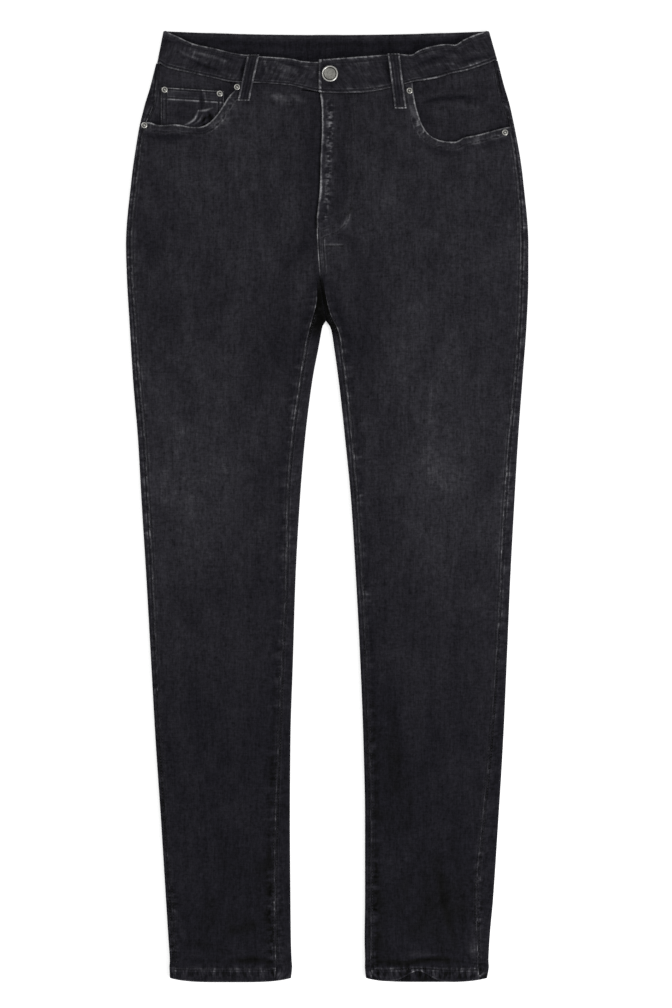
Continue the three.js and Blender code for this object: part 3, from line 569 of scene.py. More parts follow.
def inside_mouth(leg, x, y):
    """Whether a point lies in the opening of the pocket mouth, which goes on past the garment's edges."""
    mouth, outside = leg["mouth"], leg["sign"] * BEYOND["x"]
    corners = np.array([[outside, mouth[-1, 1]], [outside, BEYOND["y"]], [mouth[0, 0], BEYOND["y"]]])
    return inside_outline(np.concatenate([mouth, corners]), x, y)


def snapped(line, x, y):
    """The points of a line that lie nearest to x and y."""
    best, best_x, best_y = np.full(x.shape, 1e9), x.copy(), y.copy()
    for near_x, near_y, gap in nearest_points(line, x, y):
        closer = gap < best
        best = np.where(closer, gap, best)
        best_x, best_y = np.where(closer, near_x, best_x), np.where(closer, near_y, best_y)
    return best_x, best_y


def new_object(name, data):
    made = bpy.data.objects.new(name, data)
    bpy.context.scene.collection.objects.link(made)
    return made


def put_layer(mesh, name, values):
    """Values at a mesh's points, for its material to read."""
    mesh.attributes.new(name, "FLOAT", "POINT").data.foreach_set("value", np.asarray(values, np.float32))


CELL_CORNERS = ((0, 0), (0, 1), (1, 0), (1, 1))


def shell(name, middle, wall, out, layers, live=None, rounding=0.35):
    """A wall of cloth round a grid of middle points, with rounded edges. out is 1 where the columns' and
    rows' order makes the outer face the real one, or -1. layers are values that the material reads."""
    rows, columns = middle.shape[:2]
    live = np.ones((rows - 1, columns - 1), bool) if live is None else live
    along = middle[1:, 1:] - middle[:-1, :-1]
    across = middle[:-1, 1:] - middle[1:, :-1]
    face = np.cross(across, along) * live[..., None]
    face_centre = (middle[1:, 1:] + middle[:-1, :-1] + middle[:-1, 1:] + middle[1:, :-1]) / 4
    normal, centre = np.zeros_like(middle), np.zeros_like(middle)
    count = np.zeros((rows, columns))
    for r, c in CELL_CORNERS:
        part = (slice(r, r + rows - 1), slice(c, c + columns - 1))
        normal[part] += face
        centre[part] += face_centre * live[..., None]
        count[part] += live
    used = count > 0
    normal *= out / np.maximum(np.linalg.norm(normal, axis=2), 1e-9)[..., None]
    centre /= np.maximum(count, 1)[..., None]
    on_edge = used & (count < 4)
    away = middle - centre
    away -= normal * (away * normal).sum(2)[..., None]
    away /= np.maximum(np.linalg.norm(away, axis=2), 1e-9)[..., None]
    pulled = middle - away * (on_edge * rounding)[..., None]
    half = np.broadcast_to(np.asarray(wall, float).reshape(-1, 1) / 2, (rows, columns))[..., None]
    outer, inner = pulled + normal * half, pulled - normal * half
    index = np.full((rows, columns), -1)
    index[used] = np.arange(used.sum())
    edge_index = np.full((rows, columns), -1)
    edge_index[on_edge] = np.arange(on_edge.sum())
    below, rim = used.sum(), 2 * used.sum()
    points = np.concatenate([outer[used], inner[used], middle[on_edge]])
    r, c = np.nonzero(live)
    top = np.stack([index[r, c], index[r, c + 1], index[r + 1, c + 1], index[r + 1, c]], 1)
    faces = [top, below + top[:, ::-1]]
    padded = np.pad(live, 1)
    for beyond, first, second in (
        (padded[r, c + 1], (0, 0), (0, 1)),
        (padded[r + 2, c + 1], (1, 1), (1, 0)),
        (padded[r + 1, c], (1, 0), (0, 0)),
        (padded[r + 1, c + 2], (0, 1), (1, 1)),
    ):
        er, ec = r[~beyond], c[~beyond]
        a, b = (er + first[0], ec + first[1]), (er + second[0], ec + second[1])
        faces.append(np.stack([index[a], rim + edge_index[a], rim + edge_index[b], index[b]], 1))
        faces.append(np.stack([rim + edge_index[a], below + index[a], below + index[b], rim + edge_index[b]], 1))
    faces = np.concatenate(faces)
    if out < 0:
        faces = faces[:, ::-1]
    mesh = bpy.data.meshes.new(name)
    mesh.from_pydata((points * MM).tolist(), [], faces.tolist())
    mesh.shade_smooth()
    for layer, values in layers.items():
        values = np.broadcast_to(values, (rows, columns))
        put_layer(mesh, layer, np.concatenate([values[used], values[used], values[on_edge]]))
    put_layer(mesh, "reverse", np.concatenate([np.zeros(below), np.ones(below), np.zeros(on_edge.sum())]))
    steps = np.linalg.norm(np.diff(middle, axis=1), axis=2)
    run = np.concatenate([np.zeros((rows, 1)), np.cumsum(steps, axis=1)], axis=1)
    reference = columns // 2
    sign = np.sign(middle[0, -1, 0] - middle[0, 0, 0]) or 1
    u = (run - run[:, reference:reference + 1]) * sign + middle[:, reference:reference + 1, 0]
    flat = np.stack([u, middle[..., 1]], 2) * MM
    flat = np.concatenate([flat[used], flat[used], flat[on_edge]])
    corners = np.empty(len(mesh.loops), np.int32)
    mesh.loops.foreach_get("vertex_index", corners)
    mesh.uv_layers.new(name="cloth").data.foreach_set("uv", flat[corners].astype(np.float32).ravel())
    area = np.linalg.norm(face, axis=2).sum() / 2 * MM * MM
    return new_object(name, mesh), area


def node_group(name, inputs, outputs, kind="ShaderNodeTree"):
    """An empty node group. Its inputs are rows of name, kind of socket and start value, or None for no value."""
    group = bpy.data.node_groups.new(name, kind)
    for socket, holds, start in inputs:
        made = group.interface.new_socket(name=socket, in_out="INPUT", socket_type="NodeSocket" + holds)
        if start is not None:
            made.default_value = start
    for socket, holds in outputs:
        group.interface.new_socket(name=socket, in_out="OUTPUT", socket_type="NodeSocket" + holds)
    return group, group.nodes.new("NodeGroupInput"), group.nodes.new("NodeGroupOutput")


def add(tree, kind, links=None, **settings):
    """Adds a node, with its settings, and links or values for its inputs by name or number."""
    node = tree.nodes.new(kind)
    for key, value in settings.items():
        setattr(node, key, value)
    for key, value in (links or {}).items():
        if isinstance(value, bpy.types.NodeSocket):
            tree.links.new(value, node.inputs[key])
        else:
            node.inputs[key].default_value = value
    return node


def maths(tree, operation, *values, clamp=False):
    return add(tree, "ShaderNodeMath", dict(enumerate(values)), operation=operation, use_clamp=clamp).outputs[0]


def falloff(tree, value, near, far, high=1.0, low=0.0):
    """A soft step that goes from high at near to low at far."""
    ranged = add(tree, "ShaderNodeMapRange", {
        "Value": value, "From Min": near, "From Max": far, "To Min": high, "To Max": low,
    }, interpolation_type="SMOOTHSTEP")
    return ranged.outputs["Result"]


def noise(tree, place, scale, detail, roughness=0.5):
    return add(tree, "ShaderNodeTexNoise", {
        "Vector": place, "Scale": scale, "Detail": detail, "Roughness": roughness,
    }).outputs[0]


def stretched(tree, x, y, across, along, turn, detail, roughness):
    """Noise drawn out to its own width and length on the cloth. turn picks its pattern."""
    place = add(tree, "ShaderNodeCombineXYZ", {
        0: maths(tree, "DIVIDE", x, across), 1: maths(tree, "DIVIDE", y, along), 2: turn,
    })
    return noise(tree, place.outputs[0], 1.0, detail, roughness)


def weighted(tree, total, parts):
    """Adds to a total each value times its share."""
    for value, share in parts:
        total = maths(tree, "MULTIPLY_ADD", value, share, total)
    return total


def make_twill():
    group, given, put = node_group(
        "twill weave", [("Cloth", "Vector", None), ("Pitch", "Float", 0.0008)], [("Height", "Float")])
    split = add(group, "ShaderNodeSeparateXYZ", {0: given.outputs["Cloth"]})
    slant = maths(group, "ADD", split.outputs["X"], maths(group, "MULTIPLY", split.outputs["Y"], 0.62))
    turn = maths(group, "DIVIDE", slant, given.outputs["Pitch"])
    wave = maths(group, "SINE", maths(group, "MULTIPLY", turn, 2 * math.pi))
    group.links.new(maths(group, "MULTIPLY_ADD", wave, 0.5, 0.5), put.inputs["Height"])
    return group


def make_slubs():
    """Uneven yarns: streaks down and across the cloth, its speckled grain, pale specks and soft clouds."""
    group, given, put = node_group("slub yarns", [
        ("Cloth", "Vector", None), ("Yarn", "Float", 0.0013), ("Run", "Float", 0.011),
    ], [("Streaks", "Float"), ("Grain", "Float"), ("Specks", "Float"), ("Mottle", "Float"), ("Clouds", "Float")])
    split = add(group, "ShaderNodeSeparateXYZ", {0: given.outputs["Cloth"]})
    yarn, run = given.outputs["Yarn"], given.outputs["Run"]

    def blotches(across, along, detail, turn):
        return stretched(group, split.outputs["X"], split.outputs["Y"], across, along, turn, detail, 0.7)

    warp = blotches(yarn, run, 2.0, 3.1)
    long_warp = blotches(maths(group, "MULTIPLY", yarn, 2.6), maths(group, "MULTIPLY", run, 4.0), 2.0, 7.7)
    weft = blotches(maths(group, "MULTIPLY", run, 0.8), yarn, 2.0, 1.3)
    for name, value in (
        ("Streaks", weighted(group, maths(group, "MULTIPLY", warp, 0.38), [(long_warp, 0.30), (weft, 0.32)])),
        ("Grain", blotches(0.0026, 0.0030, 3.0, 9.4)),
        ("Mottle", blotches(0.009, 0.012, 3.0, 2.2)),
        ("Clouds", blotches(0.034, 0.060, 2.0, 4.8)),
    ):
        group.links.new(maths(group, "SUBTRACT", value, 0.5), put.inputs[name])
    specks = falloff(group, blotches(0.0013, 0.0017, 1.0, 5.9), 0.68, 0.8, 0.0, 1.0)
    group.links.new(specks, put.inputs["Specks"])
    return group


def make_seam_wear_and_shade():
    """Wear along an edge or fold, the painted shade in the groove of a row of stitches, and its pale lips."""
    group, given, put = node_group("seam wear", [
        ("Edge", "Float", 40.0), ("Fray", "Float", 0.2), ("Stitch", "Float", 40.0), ("Sewn", "Float", 0.1),
        ("Break", "Float", 0.5),
    ], [("Frayed", "Float"), ("Groove", "Float"), ("Lips", "Float")])
    stitch, sewn = given.outputs["Stitch"], given.outputs["Sewn"]

    def broken(share, rest):
        return maths(group, "MULTIPLY_ADD", given.outputs["Break"], share, rest)

    edge = maths(group, "DIVIDE", given.outputs["Edge"], broken(0.5, 0.75))
    lips = maths(group, "MULTIPLY", falloff(group, stitch, 0.6, 1.3, 0.0, 1.0), falloff(group, stitch, 1.4, 2.8))
    fray = maths(group, "MULTIPLY", given.outputs["Fray"], broken(0.6, 0.7))
    for name, value, strength in (
        ("Frayed", falloff(group, edge, 0.2, 1.25), fray),
        # the groove darkens the cloth with painted shade
        ("Groove", falloff(group, stitch, 0.2, 1.1), sewn),
        ("Lips", maths(group, "MULTIPLY", lips, broken(0.8, 0.6)), sewn),
    ):
        group.links.new(maths(group, "MULTIPLY", value, strength), put.inputs[name])
    return group


def make_puckers():
    """Small puckers across a seam, and the slanted roping of a turned hem, each where its mask is above 0."""
    group, given, put = node_group("small puckers", [
        ("Cloth", "Vector", None), ("Gathered", "Float", 0.0), ("Roped", "Float", 0.0),
    ], [("Ridge", "Float")])
    split = add(group, "ShaderNodeSeparateXYZ", {0: given.outputs["Cloth"]})
    parts = []
    for mask, across, along, slant, turn in (
        ("Gathered", 0.0065, 0.0040, 0.0, 4.2),
        ("Roped", 0.0034, 0.010, 0.12, 6.3),
    ):
        leaned = maths(group, "MULTIPLY_ADD", split.outputs["Y"], slant, split.outputs["X"])
        ridges = stretched(group, leaned, split.outputs["Y"], across, along, turn, 1.5, 0.6)
        centred = maths(group, "SUBTRACT", falloff(group, ridges, 0.36, 0.64, 0.0, 1.0), 0.5)
        parts.append(maths(group, "MULTIPLY", centred, given.outputs[mask]))
    group.links.new(maths(group, "ADD", *parts), put.inputs["Ridge"])
    return group


TWILL, SLUBS, SEAM_WEAR_AND_SHADE, PUCKERS = make_twill(), make_slubs(), make_seam_wear_and_shade(), make_puckers()
# Colours from the deepest painted shade and the unwashed yarn to the bare worn edge, by how pale the cloth is,
# and where plain cloth lies
UNWASHED = 0.519
DENIM_SHADES = [
    [0.0, 0.0012, 0.0012, 0.0010],
    [0.16, 0.0046, 0.0045, 0.0048],
    [0.3, 0.0082, 0.0079, 0.0108],
    [0.5, 0.0148, 0.0141, 0.0178],
    [0.62, 0.0225, 0.0218, 0.0264],
    [0.8, 0.062, 0.061, 0.068],
    [1.0, 0.24, 0.24, 0.25],
]


def new_material(name):
    material = bpy.data.materials.new(name)
    material.use_nodes = True
    return material, material.node_tree, material.node_tree.nodes["Principled BSDF"]


def shades(tree, value, table):
    """A colour for a value, from a table of places and colours."""
    ramp = add(tree, "ShaderNodeValToRGB", {"Fac": value})
    stops = ramp.color_ramp.elements
    while len(stops) < len(table):
        stops.new(0.5)
    for stop, (place, *colour) in zip(stops, table):
        stop.position = place
        stop.color = (*colour, 1)
    return ramp.outputs["Color"]


def put_bump(tree, shader, height, strength, distance):
    bump = add(tree, "ShaderNodeBump", {"Height": height, "Strength": strength, "Distance": distance})
    tree.links.new(bump.outputs["Normal"], shader.inputs["Normal"])


def make_denim(name, depth, softness):
    """Washed charcoal denim. depth is how strongly its yarns show, softness how rough its nap is."""
    material, tree, shader = new_material(name)
    cloth = add(tree, "ShaderNodeUVMap", uv_map="cloth").outputs[0]
    layer = {key: add(tree, "ShaderNodeAttribute", attribute_name=key).outputs["Fac"]
             for key in ("pale", "edge", "fray", "stitch", "sewn", "reverse", "gathered", "roped")}

    def effect(group, **links):
        return add(tree, "ShaderNodeGroup", links, node_tree=group).outputs

    twill, slubs = effect(TWILL, Cloth=cloth), effect(SLUBS, Cloth=cloth)
    puckers = effect(PUCKERS, Cloth=cloth, Gathered=layer["gathered"], Roped=layer["roped"])
    breaks = maths(tree, "MULTIPLY_ADD", slubs["Mottle"], 2.6, 0.5, clamp=True)
    wear_and_shade = effect(SEAM_WEAR_AND_SHADE, Edge=layer["edge"], Fray=layer["fray"], Stitch=layer["stitch"], Sewn=layer["sewn"],
                  Break=breaks)
    # pale takes painted shade from the pale layer, from the dips between puckers and from the stitch grooves, as
    # well as the cloth's own tone and wear
    pale = weighted(tree, maths(tree, "ADD", layer["pale"], UNWASHED), [
        (slubs["Clouds"], 0.30), (slubs["Mottle"], 0.20), (slubs["Streaks"], 0.14), (puckers["Ridge"], 0.34),
        (wear_and_shade["Frayed"], 1.0), (wear_and_shade["Lips"], 1.0), (wear_and_shade["Groove"], -1.0), (layer["reverse"], -0.12),
    ])
    yarns = weighted(tree, maths(tree, "MULTIPLY_ADD", twill["Height"], 0.08, 0.96), [
        (slubs["Streaks"], depth * 1.3), (slubs["Grain"], depth), (slubs["Specks"], 0.42),
    ])
    coloured = add(tree, "ShaderNodeVectorMath", {0: shades(tree, pale, DENIM_SHADES), "Scale": yarns},
                   operation="SCALE")
    tree.links.new(coloured.outputs[0], shader.inputs["Base Color"])
    rough = maths(tree, "MULTIPLY_ADD", slubs["Streaks"], 0.12, softness)
    tree.links.new(rough, shader.inputs["Roughness"])
    height = weighted(tree, maths(tree, "MULTIPLY", twill["Height"], 0.10), [
        (slubs["Streaks"], 0.35), (slubs["Grain"], 0.5), (slubs["Mottle"], 0.5), (puckers["Ridge"], 0.9),
        (wear_and_shade["Groove"], -3.0),
    ])
    put_bump(tree, shader, height, 0.7, MM)
    shader.inputs["Specular IOR Level"].default_value = 0.035
    shader.inputs["Sheen Weight"].default_value = 0.012
    shader.inputs["Sheen Roughness"].default_value = 0.5
    return material


DENIM = make_denim("washed denim", 1.85, 0.88)


def make_thread():
    """Tonal thread: dark grey and twisted, paler in small patches."""
    material, tree, shader = new_material("tonal thread")
    place = add(tree, "ShaderNodeTexCoord").outputs["Object"]
    patches = noise(tree, place, 160.0, 2.0)
    shade = shades(tree, patches, [[0.35, 0.005, 0.005, 0.006], [0.72, 0.030, 0.029, 0.033]])
    tree.links.new(shade, shader.inputs["Base Color"])
    put_bump(tree, shader, noise(tree, place, 2400.0, 1.0), 0.5, 0.0002)
    tree.links.new(maths(tree, "MULTIPLY_ADD", patches, 0.2, 0.6), shader.inputs["Roughness"])
    shader.inputs["Specular IOR Level"].default_value = 0.2
    return material


THREAD = make_thread()


def make_stitch_tree():
    """Lays one stitch after another along a line: a small capsule of thread for each."""
    tree, given, put = node_group("row of stitches", [
        ("Geometry", "Geometry", None), ("Pitch", "Float", 0.0031), ("Length", "Float", 0.0024),
        ("Thickness", "Float", 0.0006), ("Thread", "Material", None),
    ], [("Geometry", "Geometry")], "GeometryNodeTree")
    curve = add(tree, "GeometryNodeMeshToCurve", {"Mesh": given.outputs["Geometry"]})
    spaced = add(tree, "GeometryNodeResampleCurve", {
        "Curve": curve.outputs[0], "Length": given.outputs["Pitch"],
    }, mode="LENGTH")
    ball = add(tree, "GeometryNodeMeshUVSphere", {"Segments": 6, "Rings": 4, "Radius": 0.5})
    size = add(tree, "ShaderNodeCombineXYZ", {
        0: given.outputs["Thickness"], 1: given.outputs["Thickness"], 2: given.outputs["Length"],
    })
    tangent = add(tree, "GeometryNodeInputTangent")
    turn = add(tree, "FunctionNodeAlignRotationToVector", {"Vector": tangent.outputs[0]}, axis="Z")
    draw = add(tree, "FunctionNodeRandomValue", {2: 0.75, 3: 1.15, "Seed": 7}, data_type="FLOAT")
    grown = add(tree, "ShaderNodeVectorMath", {0: size.outputs[0], "Scale": draw.outputs[1]}, operation="SCALE")
    placed = add(tree, "GeometryNodeInstanceOnPoints", {
        "Points": spaced.outputs[0], "Instance": ball.outputs[0], "Rotation": turn.outputs[0],
        "Scale": grown.outputs[0],
    })
    real = add(tree, "GeometryNodeRealizeInstances", {"Geometry": placed.outputs[0]})
    soft = add(tree, "GeometryNodeSetShadeSmooth", {"Geometry": real.outputs[0]})
    finish = add(tree, "GeometryNodeSetMaterial", {
        "Geometry": soft.outputs[0], "Material": given.outputs["Thread"],
    })
    tree.links.new(finish.outputs[0], put.inputs[0])
    return tree


STITCHES = make_stitch_tree()


def sew(name, lines, pitch=3.1, length=2.5, thickness=0.6):
    """Rows of stitches along lines of points, as one mesh."""
    mesh = bpy.data.meshes.new(name + "_rows")
    starts = np.cumsum([0] + [len(line) for line in lines])
    edges = [[start + i, start + i + 1] for start, line in zip(starts, lines) for i in range(len(line) - 1)]
    mesh.from_pydata((np.concatenate(lines) * MM).tolist(), edges, [])
    rows = new_object(name + "_rows", mesh)
    modifier = rows.modifiers.new("stitches", "NODES")
    modifier.node_group = STITCHES
    values = {"Pitch": pitch * MM, "Length": length * MM, "Thickness": thickness * MM, "Thread": THREAD}
    for item in STITCHES.interface.items_tree:
        if item.in_out == "INPUT" and item.name in values:
            modifier[item.identifier] = values[item.name]
    made = bpy.data.meshes.new_from_object(rows.evaluated_get(bpy.context.evaluated_depsgraph_get()))
    bpy.data.objects.remove(rows)
    made.name = name
    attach(new_object(name, made), "root")


STITCH_LIFT = 0.05
TACK_LIFT = 0.1


def on_cloth(rows, height, above=STITCH_LIFT):
    """Rows of stitches at the height of the cloth that they are sewn through."""
    return [np.column_stack([row, height(row[:, 0], row[:, 1]) + above]) for row in rows]


def cloth_piece(node, cut, piece, area):
    """Finishes a piece of cloth: its material, its node and its body. The size that it was cut to is not used.
    """
    piece.data.materials.append(DENIM)
    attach(piece, "root")
    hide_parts(node)


FRONT_CUT = (0.225, 0.99)
INSEAM_GATHERS = both_sides(11, -490, 236, 9.5)
OUTSEAM_GATHERS = both_sides(13, -490, 400, 10)
HEM_ROPES = {"right": gathers(15, -172, -38, 6.5), "left": gathers(16, 40, 176, 6.5)}
FLY_GATHERS = gathers(17, 322, 434, 5.2)
MOUTH_ROWS = [1.9, 7.6]
MOUTH_TURNING = 10
PLAIN_SEAM, STRONG_SEAM = 0.07, 0.12
FLY_STITCH = [[29.5, 447], [28.8, 400], [27.6, 352], [25.8, 327], [20.3, 306], [10.6, 296], [-2, 291]]
FLY_STITCH_INNER = [[23.4, 447], [22.6, 400], [21.8, 354], [20.0, 331], [15.2, 313], [7, 304], [-4, 299]]
EDGE_IN = 0.15
HEM_POINTS = 40
OUTSEAM_TOP = 405
MOUTH_LOW = 380
JUST_ABOVE = 0.01
FRONT_ROW_DEPTHS = [PLAIN_SEAM, PLAIN_SEAM, 0.09, 0.14, 0.18, 0.08, 0.04, 0.16, 0.1]
FRONT_GRID = {"rows": (8, 284, 64, 29), "columns": 58, "above_crotch": 0.15, "crowded": 0.7}


def seam_line(at, aside, low, high, steps=90):
    """A line that runs a little aside of a seam, from one height to another."""
    y = np.linspace(low, high, steps)
    return np.stack([at(y) + aside, y], 1)


def hem_span(leg, seams, level, inset=0):
    """Places across a hem, from one of two seams to the other."""
    outer, inner = (leg[seam](level) for seam in seams)
    return np.linspace(outer - leg["sign"] * inset, inner + leg["sign"] * inset, HEM_POINTS)


def front_rows(leg):
    """The rows of stitches on a front panel."""
    sign = leg["sign"]
    rows = [
        seam_line(leg["outseam"], -sign * 1.8, HEM["top"] + 4, 400),
        seam_line(leg["inseam"], sign * 1.9, HEM["top"] + 4, 232),
    ]
    for offset in MOUTH_ROWS:
        row = beside(leg["mouth"], -sign * offset)
        inside = (row[:, 1] < waist_seam(leg, row[:, 0]) - 1) & (
            np.abs(row[:, 0]) < np.abs(leg["outseam"](row[:, 1])) - 1)
        rows.append(row[inside])
    hem_x = hem_span(leg, ("outseam", "inseam"), HEM["row_ends"], 1)
    rows.append(np.stack([hem_x, hem_edge(leg, hem_x, leg is LEFT) * 0.12 + 0.88 * HEM["row"] - 0.4], 1))
    if leg is LEFT:
        rows += [curve_through(FLY_STITCH, 50), curve_through(FLY_STITCH_INNER, 50)]
        rows += [seam_line(CENTRE["fly"], 1.8, CROTCH + 4, 300, 20),
                 seam_line(CENTRE["fly"], 6.6, CROTCH + 8, 290, 20)]
    return rows


def front_edges(leg):
    """The folded and sewn edges of a front panel that are worn, each with the reach of its wear."""
    sign = leg["sign"]
    edges = [
        (leg["mouth"], 1.8, 0.29),
        (beside(leg["mouth"], -sign * MOUTH_TURNING), 1.2, 0.06),
        (seam_line(leg["inseam"], sign * EDGE_IN, 110, 226, 30), 1.1, 0.22),
        (seam_line(leg["inseam"], sign * EDGE_IN, -260, 110, 60), 1.1, 0.11),
        (seam_line(leg["inseam"], sign * EDGE_IN, -508, -260, 60), 1.1, 0.22),
        (seam_line(leg["outseam"], -sign * EDGE_IN, -300, 412), 1.0, 0.12),
        (seam_line(leg["outseam"], -sign * EDGE_IN, -508, -300, 50), 1.1, 0.12 if leg is RIGHT else 0.24),
    ]
    if leg is LEFT:
        for low, high, reach, strength in ((304, 448, 2.6, 0.38), (CROTCH + 4, 304, 1.6, 0.3)):
            edges.append((seam_line(lambda y: front_inner_edge(LEFT, y), 0, low, high), reach, strength))
    hem_x = hem_span(leg, ("outseam", "inseam"), HEM["edge_ends"])
    edges.append((np.stack([hem_x, hem_edge(leg, hem_x, leg is LEFT)], 1), 1.8, 0.25))
    return edges


def from_seam(at, x, y, real=True):
    """Distance from a seam, or FAR where the seam isn't real."""
    return np.where(real, np.abs(x - at(y)), FAR)


def roped_hem(rows, x, y):
    """Where the hem is, and how high its slanted ropes stand."""
    above = y - HEM["middle"]
    return bell(above / 8), gathered(rows, x + 0.12 * above, np.zeros_like(x), 1.7, 8)


def fly_strip(from_fly, centre, y, low, ramp_in, high, ramp_out):
    """1 along the fly's turned edge, between two heights."""
    return bell((from_fly - centre) / 4) * smooth((y - low) / ramp_in) * (1 - smooth((y - high) / ramp_out))


def front_relief(leg, x, y):
    """Height of the creases, puckers and turned edges over the laid panel, and how pale they are, with painted
    shade in their troughs and a painted shadow beside the fly.
    """
    name = leg["name"]
    height, wear_and_shade = creased(FRONT_CREASES, x, y)
    from_inseam = from_seam(leg["inseam"], x, y, y < CROTCH)
    puckers = gathered(INSEAM_GATHERS[name], y, from_inseam, 2.4, 8)
    side_puckers = gathered(OUTSEAM_GATHERS[name], y, from_seam(leg["outseam"], x, y, y < OUTSEAM_TOP), 2.6, 5)
    height = height + 0.55 * puckers + 0.35 * side_puckers
    low = 1 - smooth((y + 400) / 80)
    wear_and_shade = wear_and_shade + (0.19 + 0.05 * low) * puckers + (0.10 + 0.05 * low) * side_puckers
    # painted shade in the dips beside the inseam, between its puckers
    wear_and_shade = wear_and_shade - (0.12 + 0.03 * low) * bell((from_inseam - 5) / 5) * (puckers < 0.25)
    hem, ropes = roped_hem(HEM_ROPES[name], x, y)
    height = height + 0.4 * hem * ropes
    wear_and_shade = wear_and_shade + hem * (0.24 * ropes - 0.04)
    if leg is LEFT:
        from_fly = x - front_inner_edge(LEFT, y)
        strip = fly_strip(from_fly, 9.5, y, 300, 30, 428, 18)
        fly_puckers = gathered(FLY_GATHERS, y, np.abs(from_fly - 8), 2.0, 9)
        height = height + strip * 0.5 * fly_puckers
        wear_and_shade = wear_and_shade + strip * (0.05 + 0.13 * fly_puckers)
    else:
        # painted shadow that the left front's lap casts on the right front beside the fly
        beside_fly = CENTRE["fly"](y) - x
        shade = smooth((y - 282) / 30)
        wear_and_shade = wear_and_shade - shade * (0.32 * bell(beside_fly / 3) + 0.05 * bell((beside_fly - 9) / 8))
    return height, wear_and_shade


def seam_masks(leg, x, y):
    """Where the cloth is gathered by its seams, and where its hem is roped."""
    rough = 0.55 + 0.45 * np.sin(y / 31 + leg["sign"]) * np.sin(y / 13)
    low = 1 - smooth((y + 430) / 60)
    by_inseam = bell((from_seam(leg["inseam"], x, y, y < CROTCH - 20) - 4) / 5) * (0.5 + 0.6 * low)
    by_outseam = bell((from_seam(leg["outseam"], x, y) - 2) / 5) * (0.4 + 0.6 * low)
    masks = np.maximum(by_inseam, by_outseam) * rough
    if leg is LEFT:
        strip = fly_strip(x - front_inner_edge(LEFT, y), 8.5, y, 296, 20, 432, 14)
        masks = np.maximum(masks, 1.45 * strip)
    return masks, np.exp(-(((y - HEM["middle"]) / 7) ** 4)) * (0.9 + 0.4 * rough)


def front_top(leg, x, y):
    return lay_height(leg, x, y) + fly_shift(leg, x, y) + front_relief(leg, x, y)[0]


def leg_levels(counts, above_crotch):
    """Levels of the rows of a leg's grid: the hem, the leg, the seat and the part that follows the top seam."""
    hem, leg, seat, top = counts
    return np.concatenate([
        np.linspace(HEM["corner"], HEM["top"], hem),
        np.linspace(HEM["top"] + HEM["step"], CROTCH, leg),
        np.linspace(CROTCH + above_crotch, RULED_FROM, seat),
        np.linspace(RULED_FROM, RULED_TO, top)[1:],
    ])


def build_front(leg):
    sign, name = leg["sign"], leg["name"]
    levels = leg_levels(FRONT_GRID["rows"], FRONT_GRID["above_crotch"])
    even = np.linspace(0, 1, FRONT_GRID["columns"])
    shares = lerp(even, (1 - np.cos(math.pi * even)) / 2, FRONT_GRID["crowded"])
    level, share = np.meshgrid(levels, shares, indexing="ij")
    y = level
    for _ in range(4):
        x = lerp(leg["outseam"](y) - sign * SEAM, front_inner_edge(leg, y), share)
        y = level_to_y(leg, level, x, leg is LEFT, waist_seam(leg, x))
    cut = inside_mouth(leg, x, y)
    live = (cut[1:, 1:].astype(int) + cut[:-1, :-1] + cut[1:, :-1] + cut[:-1, 1:]) < 2
    count = np.zeros(x.shape)
    for r, c in CELL_CORNERS:
        count[r:r + live.shape[0], c:c + live.shape[1]] += live
    whole = np.full(x.shape, 4.0)
    whole[0], whole[-1], whole[:, 0], whole[:, -1] = 2, 2, 2, 2
    on_mouth = (count > 0) & (count < whole) & (y > MOUTH_LOW)
    near_x, near_y = snapped(leg["mouth"], x, y)
    x, y = np.where(on_mouth, near_x, x), np.where(on_mouth, near_y, y)
    height, wear_and_shade = front_relief(leg, x, y)
    wall = np.where(levels <= HEM["top"] + JUST_ABOVE, HEM_WALL, DENIM_WALL)
    z = lay_height(leg, x, y) - wall[:, None] / 2 + fly_shift(leg, x, y) + height
    rows = front_rows(leg)
    sewing = [(row, 1, depth) for row, depth in zip(rows, FRONT_ROW_DEPTHS)]
    layers = {"pale": wear_and_shade + washed_and_shaded(x, y), **worn_layers(front_edges(leg), sewing, x, y)}
    layers["gathered"], layers["roped"] = seam_masks(leg, x, y)
    cloth_piece(f"front_{name}", FRONT_CUT,
                *shell(f"front_panel_{name}", np.stack([x, y, z], 2), wall, -sign, layers, live))
    sew(f"front_stitches_{name}", on_cloth(rows, lambda at_x, at_y: front_top(leg, at_x, at_y)))


for leg in LEGS:
    build_front(leg)

# Back legs: one panel for each leg, from the yoke seam to the hem. It lies under the front, wraps round both
# folded edges of the leg, and shows on the front as a narrow strip beside the outseam and the inseam.
FOLD_REACH = 3.5
FOLD_SHARE = 0.92
FOLD_BULGE = 0.9
FORK_LAP = 0.5
FOLD_ANGLES = np.linspace(math.pi / 2, -math.pi / 2, 11)
BACK_CUT = (0.29, 0.98)
BAND_LOW = 183.7
BAND_TOP_SIDE = {"right": 176.8, "left": 174.7}
BACK_BAND = {"low": 473.6, "top": 509.2}
YOKE_SEAM = {"side": 439, "centre": 409, "reach": 200}
BACK_POCKET = {"x": 104, "top": 372, "width": 124, "foot_width": 110, "side": 106, "point": 130}
POCKET_EASE = {"margin": 12, "ramp": 16}
LOOP = {"width": 12.6, "bow": 1.1, "back_low": 468.6, "back_top": 508, "back_past": 520}
LOOP_EASE = {"margin": 2.6, "ramp": 8}
BACK_LOOPS = {"right": -120, "centre": 0, "left": 120}
